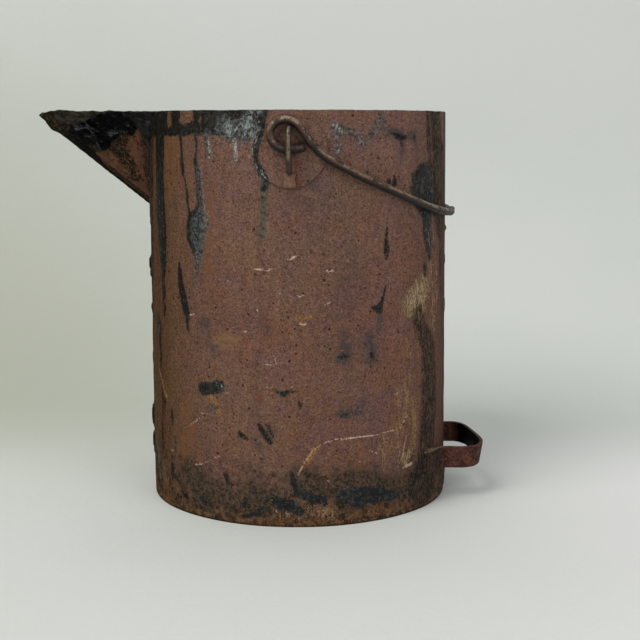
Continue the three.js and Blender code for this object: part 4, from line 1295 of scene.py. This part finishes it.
    # soft dirt
    stain = soft("stain", high=6, rag=5, low=-4)
    paint(stain * 0.62 * step(texture(6, seed=19), 0.36, 0.62), (122, 80, 50))
    haze = soft("haze", high=8, rag=7, low=-6)
    haze_spots = step(texture(3.6, detail=4, rough=0.78, seed=20), 0.40, 0.62)
    paint(haze * 0.42 * haze_spots, (72, 62, 62))
    smudge = soft("smudge", high=4, rag=6, low=-3)
    cool = mix(grain, (38, 40, 44), (84, 80, 82))
    dirt_spots = step(texture(2.4, rough=0.75, seed=39), 0.40, 0.60)
    dirt = mix(dirt_spots, (30, 29, 25), (84, 72, 56))
    smears = step(texture(3.0, detail=4, rough=0.78, scale=(1, 1, 0.7), seed=33), 0.34, 0.54)
    paint(smudge * 0.85 * smears, mix(step(z, 70, 50), cool, dirt))
    # light brown blotches, brushed patch and streaks; red rust
    paint(soft("tanb", high=3.5, rag=4, low=-3) * 0.62, (140, 106, 74))
    tan = soft("tan", high=2.0, rag=7, low=-2.4)
    brushed = texture(1.5, scale=(0.85, 0.85, 0.25), seed=21)
    paint(tan * 0.9 * step(fine + 0.4 * (grain - 0.5), 0.26, 0.48),
          mix(step(brushed, 0.38, 0.60), (98, 80, 58), (172, 146, 108)))
    streaks = 0.55 * texture(2.8, detail=4, rough=0.78, scale=(1, 1, 0.5), seed=43)
    streaks = step(0.45 * thin_run + streaks + 0.4 * (grain - 0.5), 0.49, 0.56)
    paint(soft("tanst", high=3, rag=5, low=-3) * streaks * 0.85,
          mix(grain, (128, 96, 62), (170, 138, 100)))
    paint(soft("red", high=2.0, rag=3, low=-1.5) * 0.6,
          mix(step(z, 274, 278), (118, 50, 30), (58, 26, 22)))
    # long dark bands, with straw-coloured flecks
    band = attr("band") + 6 * (run - 0.5) + 9 * (thin_run - 0.5) + 4 * (fine - 0.5)
    band = step(band, -1.5, 2.6)
    blot = texture(5.2, detail=4, rough=0.72, scale=(1, 1, 0.6), seed=41)
    blot = 0.25 * thin_run + 0.75 * blot + 0.3 * (grain - 0.5) + 0.4 * (fine - 0.5)
    band = band * (0.30 + 0.70 * step(blot, 0.42, 0.51))
    band_spots = step(texture(1.9, rough=0.75, scale=(1, 1, 0.5), seed=22), 0.50, 0.66)
    paint(math_node("MINIMUM", band, 0.94), mix(band_spots, (22, 22, 23), (92, 74, 58)))
    shaded_spout_flank = step(x, -62, -92)
    straws = texture(1.4, detail=4, rough=0.85, scale=(1, 1, 0.28), seed=36)
    straws = step(straws + 0.35 * (texture(12, detail=2, rough=0.5, seed=40) - 0.5), 0.54, 0.64)
    held = math_node("MINIMUM", math_node("MAXIMUM", band, 0.0), 1.0)
    paint(held * straws * (0.30 - 0.26 * shaded_spout_flank), (146, 116, 78))
    # bare rust along the +X outline
    bare = step(x + 3 * (run - 0.5) + 3 * (fine - 0.5), 111.6, 114.2)
    bare = bare * step(y + 24 * (mid - 0.5), 14, -12) * step(z + 30 * (run - 0.5), 262, 235)
    paint(bare * step(z, 28, 44) * step(thin_run, 0.36, 0.52) * 0.7, (98, 62, 50))
    green = soft("green", high=1.0, rag=1.6, low=-1.0)
    paint(green * 0.86, mix(step(fine, 0.35, 0.62), (48, 48, 42), (96, 96, 84)))
    # dark patch behind the strap
    behind = step(y + 8 * (run - 0.5) + 5 * (fine - 0.5), -27, -19) * step(y, 30, 20)
    behind = behind * step(x, 100, 112)
    behind = behind * step(texture(7, detail=4, scale=(1, 1, 0.3), seed=47), 0.38, 0.50)
    paint(behind * 0.75, mix(fine, (28, 26, 20), (70, 66, 50)))

    # tar
    edge = attr("tar") + ragged * blend(step(z, 70, 30), 1.0, 0.9)
    tar = step(edge, -0.40, 0.55)
    solid_tar = step(edge, 0.6, 2.6)
    dusty = step(texture(6, detail=4, scale=(1, 1, 0.35), seed=23), 0.42, 0.72)
    dusty = dusty * (1.0 - 0.6 * shaded_spout_flank) * blend(step(z, 50, 30), 1.0, 0.55)
    black = mix(step(z, 50, 30), (17, 17, 16), (26, 27, 31))
    tar_colour = mix(dusty, black, (50, 49, 46))
    flecks = step(texture(1.7, detail=2, rough=0.6, seed=24), 0.58, 0.68)
    tar_colour = mix(flecks * 0.5, tar_colour, (88, 84, 74))
    # the tar is darker on the spout flank: painted shade
    tar_colour = vector_node("SCALE", tar_colour, (0.55 + 0.9 * grain) * (1.0 - 0.4 * shaded_spout_flank))
    gaps = step(texture(2.4, rough=0.75, seed=32), 0.62, 0.70) * (1.0 - 0.95 * solid_tar)
    tar = tar * (1.0 - 0.75 * gaps)
    paint(tar * 0.96, tar_colour)
    rim = step(absolute(edge - 0.7), 0.9, 0.2)
    rim = rim * step(texture(1.9, rough=0.75, seed=35), 0.52, 0.64)
    paint(rim * 0.45 * step(patch, 0.46, 0.58) * (1.0 - shaded_spout_flank), (140, 138, 130))
    # old tar bleached grey, and the white bloom on it
    grey = soft("grey", high=2.4, rag=4.0, low=-1.8)
    grey_colour = mix(step(fine + 0.6 * (grain - 0.5), 0.38, 0.62), (34, 38, 39), (100, 105, 104))
    grey = grey * (0.35 + 0.6 * step(texture(2.6, rough=0.75, seed=25), 0.40, 0.58))
    paint(grey * 0.9, grey_colour)
    pale = soft("pale", high=3.6, rag=4.0, low=-2.4)
    flecks = texture(1.5, detail=4, rough=0.85, scale=(1, 1, 0.5), seed=26)
    flecks = flecks + 0.5 * (texture(6, rough=0.6, seed=34) - 0.5) + 0.07 * pale
    flecks = step(flecks, 0.54, 0.68)
    under = pale * step(x, 12, 22) * step(texture(2.2, rough=0.75, seed=49), 0.42, 0.54)
    paint(under * 0.75, (38, 38, 40))
    paint(pale * flecks * (0.68 + 0.2 * step(x, 12, 22)),
          mix(grain, (112, 120, 122), (196, 202, 198)))
    bloom = step(attr("bloom") + 2.4 * (fine - 0.5) + 2.0 * (grain - 0.5), -0.3, 0.4)
    bloom = bloom * step(texture(1.8, rough=0.8, seed=42), 0.44, 0.58)
    paint(bloom * 0.72, mix(grain, (134, 140, 138), (206, 210, 202)))
    # small sharp marks
    crack = step(attr("crack") + 1.6 * (fine - 0.5), -0.3, 0.3)
    paint(crack * 0.5 * step(texture(7, rough=0.6, seed=37), 0.34, 0.55), (36, 24, 20))
    ochre = step(attr("ochre") + 4.0 * (fine - 0.5) + 2.5 * (grain - 0.5), -0.8, 0.6)
    ochre = ochre * (0.35 + 0.65 * step(texture(1.5, rough=0.75, seed=48), 0.38, 0.54))
    paint(ochre * 0.78, mix(step(grain, 0.4, 0.6), (116, 80, 42), (170, 124, 68)))
    paint(step(attr("palemark") + 2.0 * (fine - 0.5), -0.1, 0.5) * 0.8, (196, 172, 142))
    line = step(attr("line") + 2.2 * (grain - 0.5) + 2.0 * (fine - 0.5), -0.35, 0.25)
    line = line * attr("strength")
    paint(line * 0.9, mix(fine, (206, 170, 138), (214, 192, 172)))

    # inside: a skin of old tar with rust above it
    inner = step(attr("inner"), 0.4, 0.6)
    level = step(z + 60 * (mid - 0.5) + 110 * (run - 0.5), 292, 268)
    inside = mix(step(texture(8, detail=4, seed=27), 0.40, 0.65), (30, 26, 24), (58, 49, 42))
    rust_runs = step(texture(3, scale=(1, 1, 0.3), seed=28), 0.60, 0.72)
    inside = mix(rust_runs * 0.7, inside, (98, 66, 46))
    paint(inner, mix(level, skin.colour, inside))

    coat = math_node("MAXIMUM", tar, inner * level)
    rough = blend(coat, 0.78 + 0.2 * fine, blend(dusty, 0.42, 0.68))
    rough = blend(band * 0.5, rough, 0.62)
    height = 1.1 * fine + 0.8 * grain + 0.6 * mid + 0.7 * five - 1.0 * pit - 0.5 * small_pit
    tar_bumps = 0.8 * texture(3.0, rough=0.65, seed=29) + 0.35 * grain + 1.0
    height = blend(coat, height, tar_bumps) - 0.5 * line
    shine = tar * step(texture(4.2, rough=0.65, seed=38), 0.50, 0.66) * (1.0 - 0.6 * dusty)
    rough = blend(shine, rough, 0.30)
    return skin.finish(rough, height, distance=0.0009,
                       spec=(0.10 + 0.40 * shine) * (1.0 - 0.75 * shaded_spout_flank))


def spout_material():
    skin = Skin("tarred_spout")
    paint = skin.paint
    x, _, _ = split(point)
    mid = texture(8, rough=0.62, seed=31)
    fine = texture(2.3, seed=32)
    grain = texture(1.25, detail=2, rough=0.75, seed=33)
    folds = texture(3.3, detail=5, scale=(0.30, 0.8, 1.15), seed=34, warp=1.8)
    # rust of the sheet
    skin.colour = mix(step(texture(13, rough=0.65, seed=35), 0.42, 0.60), (88, 65, 48), (102, 69, 51))
    skin.shade(1.0 + 1.3 * (fine - 0.5) + 1.4 * (grain - 0.5) + 0.8 * (mid - 0.5))
    distance, random1, _ = cells(4.0, seed=36)
    pit = step(distance + (0.32 - 0.42 * random1), 0.26, 0.08)
    paint(pit * 0.7, (30, 24, 22))
    # thin tar, broken into specks, with a few olive and straw grains
    crackle = step(attr("crackle") + 4 * (mid - 0.5), -3.0, 2.5)
    broken = step(texture(2.1, detail=4, rough=0.8, seed=37) + 0.11 * crackle, 0.56, 0.62)
    thin = step(texture(5.5, detail=5, rough=0.78, seed=38), 0.54, 0.62) * 0.82
    paint(math_node("MAXIMUM", broken * (0.45 + 0.5 * crackle), thin), (21, 21, 17))
    grains = step(texture(1.7, detail=2, seed=39), 0.59, 0.67) * (0.20 + 0.80 * crackle)
    straw = step(texture(5, detail=2, rough=0.5, seed=40), 0.44, 0.58)
    paint(grains * 0.75, mix(straw, (98, 90, 56), (146, 124, 90)))
    junction = step(attr("junction") + 4 * (mid - 0.5) + 3 * (fine - 0.5), -2.0, 2.0)
    paint(junction * 0.85 * step(texture(2.6, seed=41), 0.34, 0.52), (30, 28, 26))
    # set tar: black where it is thick, with a painted sheen on the fold tops and painted glints,
    # greyed on the shoulder, brown and crusted at the tip
    thick = step(attr("thick") + 4.0 * (mid - 0.5) + 3.4 * (fine - 0.5), -0.9, 0.7)
    ridge = attr("ridge")
    tar = mix(step(folds + 0.4 * (ridge - 0.5), 0.46, 0.66), (4, 4, 5), (40, 41, 46))
    painted_glints = step(texture(1.9, scale=(0.45, 1, 1), seed=42) + 0.25 * (folds - 0.5), 0.67, 0.76)
    tar = mix(painted_glints * 0.4, tar, (96, 98, 102))
    soft = step(attr("soft") + 10 * (mid - 0.5) + 6.0 * (fine - 0.5), -0.8, 0.9)
    clouds = step(texture(8, detail=4, rough=0.65, seed=43) + 0.3 * (fine - 0.5), 0.40, 0.66)
    shoulder = mix(clouds, (20, 20, 20), (48, 49, 48))
    # painted shade in the creases between the shoulder's folds
    shoulder = mix(step(folds, 0.47, 0.40) * 0.85, shoulder, (8, 8, 8))
    crust = step(attr("crust") + 5 * (mid - 0.5), -1.8, 2.2)
    crust_spots = step(texture(2.6, detail=4, rough=0.78, seed=44), 0.44, 0.64)
    paint(thick, mix(crust, tar, mix(crust_spots, (26, 22, 17), (80, 66, 42))))
    paint(soft, shoulder)
    lip = step(attr("lip") + 2.4 * (mid - 0.5) + 1.6 * (fine - 0.5), -0.4, 0.6)
    lip_streaks = step(texture(5, detail=4, scale=(0.35, 1, 1), seed=47), 0.38, 0.62)
    paint(lip * 0.92, mix(lip_streaks, (30, 28, 24), (70, 66, 56)))
    # the keel is black along its edge, widely so towards the tip, with olive grains
    reach = blend(step(x, -150, -170), 2.6, 9.5)
    edge = step(attr("keel") + 3.5 * (mid - 0.5) + 2.5 * (fine - 0.5) - reach, 0.9, -0.9)
    olive = step(texture(1.9, rough=0.75, seed=48), 0.58, 0.68) * step(x, -165, -180)
    paint(edge * (1.0 - crust) * 0.92, mix(olive, (17, 15, 13), (84, 76, 42)))
    inner = step(attr("inner"), 0.4, 0.6)
    inside = mix(step(folds, 0.38, 0.66), (12, 11, 11), (46, 41, 36))
    inside = mix(step(texture(6, detail=4, seed=45), 0.60, 0.72) * 0.7, inside, (88, 60, 42))
    paint(inner, inside)

    coat = math_node("MAXIMUM", math_node("MAXIMUM", thick, soft), inner)
    gloss = blend(step(texture(7, rough=0.6, seed=46), 0.38, 0.62), 0.16, 0.36)
    rough = blend(coat, 0.84, gloss)
    rough = blend(soft, rough, 0.55)
    rough = blend(crust * thick, rough, 0.70)
    rough = blend(lip, rough, 0.75)
    height = 0.6 * fine + 0.45 * grain - 0.7 * pit + 0.9 * broken * crackle
    height = blend(coat, height, 3.2 * folds + 0.7 * fine)
    height = blend(soft, height, 1.2 * mid + 0.4 * fine + 1.6 * folds)
    # the fold tops shine
    crest = step(folds + 0.35 * (ridge - 0.4) + 0.5 * (fine - 0.5), 0.54, 0.66)
    crest = crest * coat * (1.0 - 0.7 * soft) * (1.0 - lip)
    rough = blend(crest, rough, 0.17)
    return skin.finish(rough, height, distance=0.0012, spec=0.06 + 0.62 * crest)


def base_material():
    skin = Skin("tarred_base")
    mid = texture(9, rough=0.62, seed=51)
    fine = texture(2.5, seed=52)
    grain = texture(1.1, detail=2, seed=53)
    skin.colour = mix(step(texture(24, rough=0.6, seed=54), 0.40, 0.62), (88, 62, 48), (70, 52, 44))
    skin.shade(0.6 + 0.5 * fine + 0.3 * grain)
    skin.paint(step(texture(10, detail=4, seed=55), 0.56, 0.68) * 0.8, (40, 34, 31))
    inner = step(attr("inner"), 0.4, 0.6)
    folds = texture(14, detail=4, rough=0.6, seed=56, warp=1.6)
    inside = mix(step(folds, 0.38, 0.66), (18, 17, 16), (50, 45, 41))
    inside = mix(step(texture(5, detail=4, seed=57), 0.60, 0.70) * 0.6, inside, (84, 62, 46))
    skin.paint(inner, inside)
    rough = blend(inner, 0.86, blend(step(folds, 0.4, 0.6), 0.34, 0.6))
    height = blend(inner, 0.6 * fine + 0.4 * grain + 0.7 * mid, 2.4 * folds + 0.5 * fine)
    return skin.finish(rough, height, distance=0.0006, spec=0.15)


def rod_material(name, tarred):
    """Round iron rod: brown oxide worn to dull metal, with a painted highlight and painted shade.
    Tarred is the bail, plain the staples.
    """
    skin = Skin(name)
    paint = skin.paint
    x, _, z = split(point)
    mid = texture(11, rough=0.6, seed=61)
    fine = texture(2.2, rough=0.72, seed=62)
    grain = texture(1.1, detail=2, rough=0.75, seed=63)
    skin.colour = mix(step(mid, 0.40, 0.60), (54, 42, 33), (92, 68, 52))
    paint(step(texture(18, detail=2, rough=0.5, seed=64), 0.50, 0.66) * 0.6, (46, 40, 37))
    paint(step(fine, 0.58, 0.70) * 0.5, (112, 82, 60))
    paint(step(texture(3.2, rough=0.75, seed=65), 0.55, 0.66) * 0.8, (25, 21, 19))
    skin.shade(1.0 + 1.6 * (grain - 0.5) + 1.0 * (fine - 0.5))
    worn = step(texture(6, rough=0.65, seed=66) + 0.4 * (fine - 0.5), 0.42, 0.60)
    # on the bail the bright wear shows only on the top side: a painted highlight
    if tarred:
        worn = worn * step(attr("under") + 0.5 * (fine - 0.5), 0.05, -0.40)
    metal = worn * (0.6 if tarred else 0.35)
    paint(worn * (0.72 if tarred else 0.25), (178, 152, 126))
    rough = blend(worn, 0.50, 0.26)
    height = 0.8 * fine + 0.6 * grain + 0.8 * mid
    if tarred:
        # darker round the eyes; nearly black underneath, tar deepened by painted shade; tar on the
        # crown
        eyes = step(z + 1.5 * (fine - 0.5), EAR_Z + 6.5, EAR_Z + 3.5)
        eyes = eyes * step(x, 25, 18) * step(z, EAR_Z - 26, EAR_Z - 22)
        paint(eyes * 0.72, (42, 29, 25))
        metal = metal * (1.0 - eyes)
        under = step(attr("under") + 0.9 * (mid - 0.5) + 0.7 * (fine - 0.5), 0.0, 0.40)
        paint(under * 0.94, (15, 12, 10))
        metal = metal * (1.0 - 0.8 * under)
        coat = step(attr("tar") + 0.9 * (fine - 0.5), 0.22, 0.42)
        paint(coat, mix(step(texture(3, seed=67), 0.42, 0.66), (18, 16, 14), (54, 45, 37)))
        metal = metal * (1.0 - coat)
        rough = blend(coat, rough, 0.50)
    else:
        # a painted highlight along the middle of the rod's upper part with painted shade beside and
        # below it, and a rusty tail
        middle = step(absolute(x + 0.9 * (fine - 0.5)), 1.5, 0.4)
        middle = middle * step(z + 2 * (fine - 0.5), 268, 273)
        paint(0.66 * (1.0 - middle), (32, 28, 24))
        broken = step(fine + 0.4 * (mid - 0.5), 0.40, 0.56)
        paint(middle * broken * 0.5, (128, 124, 108))
        tail = step(attr("tail"), 0.4, 0.6)
        rust = mix(step(mid + 0.4 * (fine - 0.5), 0.42, 0.58), (112, 84, 68), (124, 90, 70))
        paint(tail, vector_node("SCALE", rust, 0.5 + 1.0 * fine))
        metal = metal * (1.0 - tail)
        rough = blend(tail, rough, 0.82)
    return skin.finish(rough, height, distance=0.0005, spec=0.30, metal=metal)


def strap_material():
    skin = Skin("rusted_strap")
    paint = skin.paint
    x, _, z = split(point)
    mid = texture(9, rough=0.62, seed=71)
    fine = texture(2.3, seed=72)
    grain = texture(0.95, detail=2, seed=73)
    skin.colour = mix(step(mid + 0.3 * (fine - 0.5), 0.42, 0.60), (78, 48, 40), (90, 56, 43))
    paint(step(texture(16, rough=0.6, seed=74), 0.54, 0.68) * 0.6, (62, 48, 42))
    distance, random1, _ = cells(3.4, seed=75)
    pit = step(distance + (0.22 - 0.34 * random1) + 0.3 * (fine - 0.5), 0.28, 0.12)
    pit = pit * step(texture(20, detail=2, rough=0.5, seed=76), 0.28, 0.44)
    skin.shade(1.0 + 2.4 * (fine - 0.5) + 2.6 * (grain - 0.5) + 1.0 * (mid - 0.5))
    paint(pit * 0.85, (28, 18, 16))
    paint(step(texture(4.5, rough=0.75, seed=77), 0.60, 0.70) * 0.4, (118, 76, 54))
    paint(step(texture(6.5, detail=4, rough=0.75, seed=80), 0.51, 0.59) * 0.66, (38, 21, 18))
    paint(step(texture(3.0, rough=0.75, seed=81), 0.60, 0.68) * 0.5, (120, 76, 60))
    edge = step(absolute(z - 35.1), 7.6, 8.7)
    paint(edge * 0.35, (108, 80, 64))
    # tar on the tabs, and inside the loop old tar deepened to black with painted shade
    tab = step(x + 5 * (mid - 0.5) + 4 * (fine - 0.5), 117.5, 113.5)
    tab = tab * step(texture(4, detail=4, rough=0.75, seed=78), 0.28, 0.46)
    paint(tab * 0.9, mix(step(fine, 0.4, 0.6), (24, 22, 21), (74, 56, 46)))
    loop = step(attr("loop") + 0.8 * (mid - 0.5) + 0.6 * (fine - 0.5), 0.40, 0.62)
    paint(loop * 0.97, (10, 9, 8))
    # a painted highlight along the top edge of the tabs
    rim = step(z + 0.8 * (fine - 0.5), 42.9, 43.4) * step(x, 120, 114)
    paint(rim * step(texture(5, seed=79), 0.36, 0.50) * 0.55, (140, 118, 96))
    rough = blend(loop, 0.62 + 0.30 * fine, 0.5)
    height = 0.9 * fine + 0.7 * grain + 0.9 * mid - 1.0 * pit
    return skin.finish(rough, height, distance=0.0007, spec=0.16 * (1.0 - 0.85 * loop))


def stage_material():
    skin = Skin("painted_wall")
    cloud = texture(420, rough=0.5, seed=81)
    bumps = texture(5, rough=0.6, seed=82)
    skin.colour = mix(step(cloud, 0.35, 0.65), (222, 226, 221), (227, 230, 226))
    x, y, z = split(point)
    # painted shadow on the sweep, darker towards the lower left, and a painted pool of light on the
    # floor to the right
    shadow = step(x + 0.5 * z, 250, -420) * step(y, -100, 260) * step(z, 560, 30)
    skin.paint(shadow, (198, 201, 187))
    skin.paint(step(x, 60, 320) * step(y, 240, 60) * 0.9, (240, 239, 238))
    material = skin.finish(0.75, 0.4 * bumps, distance=0.0008, spec=0.25)
    # seen from its back the sweep is clear, so that it never hides the object
    back = tree.nodes.new("ShaderNodeNewGeometry")
    put(skin.shader.inputs["Alpha"], 1.0 - Value(back.outputs["Backfacing"]))
    return material


# ------------------------------------------------------------------ the object
def dress(ob, material, body, slot, *nodes):
    ob.data.materials.append(material)
    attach(ob, body)
    if nodes:
        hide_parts(*nodes)


wall_skin, spout_skin, base_skin = wall_material(), spout_material(), base_material()
staple_skin = rod_material("worn_rod", tarred=False)
bail_skin = rod_material("tarred_rod_painted_light", tarred=True)
strap_skin = strap_material()
SIDES = (("near", -1), ("far", 1))

dress(build_wall(), wall_skin, BODY, "rusted_sheet", "body_shell")
dress(build_base(), base_skin, BODY, "tarred_sheet", "base_pan")
dress(build_spout(), spout_skin, BODY, "tarred_sheet", "spout")
for word, side in SIDES:
    dress(build_plate("plate_" + word, side), wall_skin, BODY, "rusted_sheet", "ear_plate_" + word)
    dress(build_staple("staple_" + word, side), staple_skin, BODY, "worn_rod", "ear_staple_" + word)
dress(build_bail(), bail_skin, BAIL, "worn_rod", "bail_handle")
dress(build_strap(), strap_skin, BODY, "rusted_strap", "tipping_handle")
for word, side in SIDES:
    dress(build_weld("handle_weld_" + word, side), strap_skin, BODY, "rusted_strap")


# ------------------------------------------------------------------ stage, light, camera
def build_stage():
    """A floor that sweeps up into a pale wall on the +Y side."""
    reach, bend = 2600.0, 300
    profile = [(-reach, 0.0), (bend, 0.0)]
    for k in range(1, 17):
        angle = math.pi / 2 * k / 16
        profile.append((bend + bend * math.sin(angle), bend - bend * math.cos(angle)))
    profile.append((2 * bend, reach))
    points = [(x, y, z) for x in (-reach, reach) for y, z in profile]
    faces = grid_faces(2, len(profile))[:, [0, 1, 2, 3]]
    ob = make_mesh("stage_sweep", points, [faces])
    ob.data.materials.append(stage_material())


def add_light(name, place, target, size, power, colour):
    """A disc light at `place`, turned to `target`; metres and watts."""
    light = bpy.data.lights.new(name, "AREA")
    light.shape = "DISK"
    light.size, light.energy, light.color = size, power, colour
    ob = bpy.data.objects.new(name, light)
    ob.location = place
    ob.rotation_euler = (Vector(target) - Vector(place)).to_track_quat("-Z", "Y").to_euler()
    bpy.context.scene.collection.objects.link(ob)


def add_camera():
    camera = bpy.data.cameras.new("camera")
    camera.sensor_width, camera.lens = 36.0, 70.43
    camera.clip_start, camera.clip_end = 0.05, 20.0
    ob = bpy.data.objects.new("camera", camera)
    pitch, yaw = 0.1507, math.radians(2.0)  # down, and towards -X
    look = Vector((-math.sin(yaw) * math.cos(pitch), math.cos(yaw) * math.cos(pitch),
                   -math.sin(pitch)))
    ob.location = (0.05269, -1.00973, 0.29091)
    ob.rotation_euler = look.to_track_quat("-Z", "Y").to_euler()
    bpy.context.scene.collection.objects.link(ob)
    bpy.context.scene.camera = ob


build_stage()
add_light("key", place=(-1.02, -1.38, 1.98), target=(0, 0, 0.12), size=1.5, power=34.5,
          colour=(1.0, 0.985, 0.955))
add_light("fill", place=(1.3, -1.7, 1.0), target=(0, 0, 0.15), size=1.5, power=11.5,
          colour=(0.97, 0.98, 1.0))
add_light("ceiling", place=(0.1, 0.1, 2.4), target=(0, 0.2, 0), size=2.0, power=6,
          colour=(0.98, 1.0, 1.0))

world = bpy.data.worlds.new("studio")
world.use_nodes = True
background = world.node_tree.nodes["Background"]
background.inputs[0].default_value = (0.94, 0.97, 1.0, 1)
background.inputs[1].default_value = 0.20
bpy.context.scene.world = world
bpy.context.scene.view_settings.view_transform = "Standard"
add_camera()
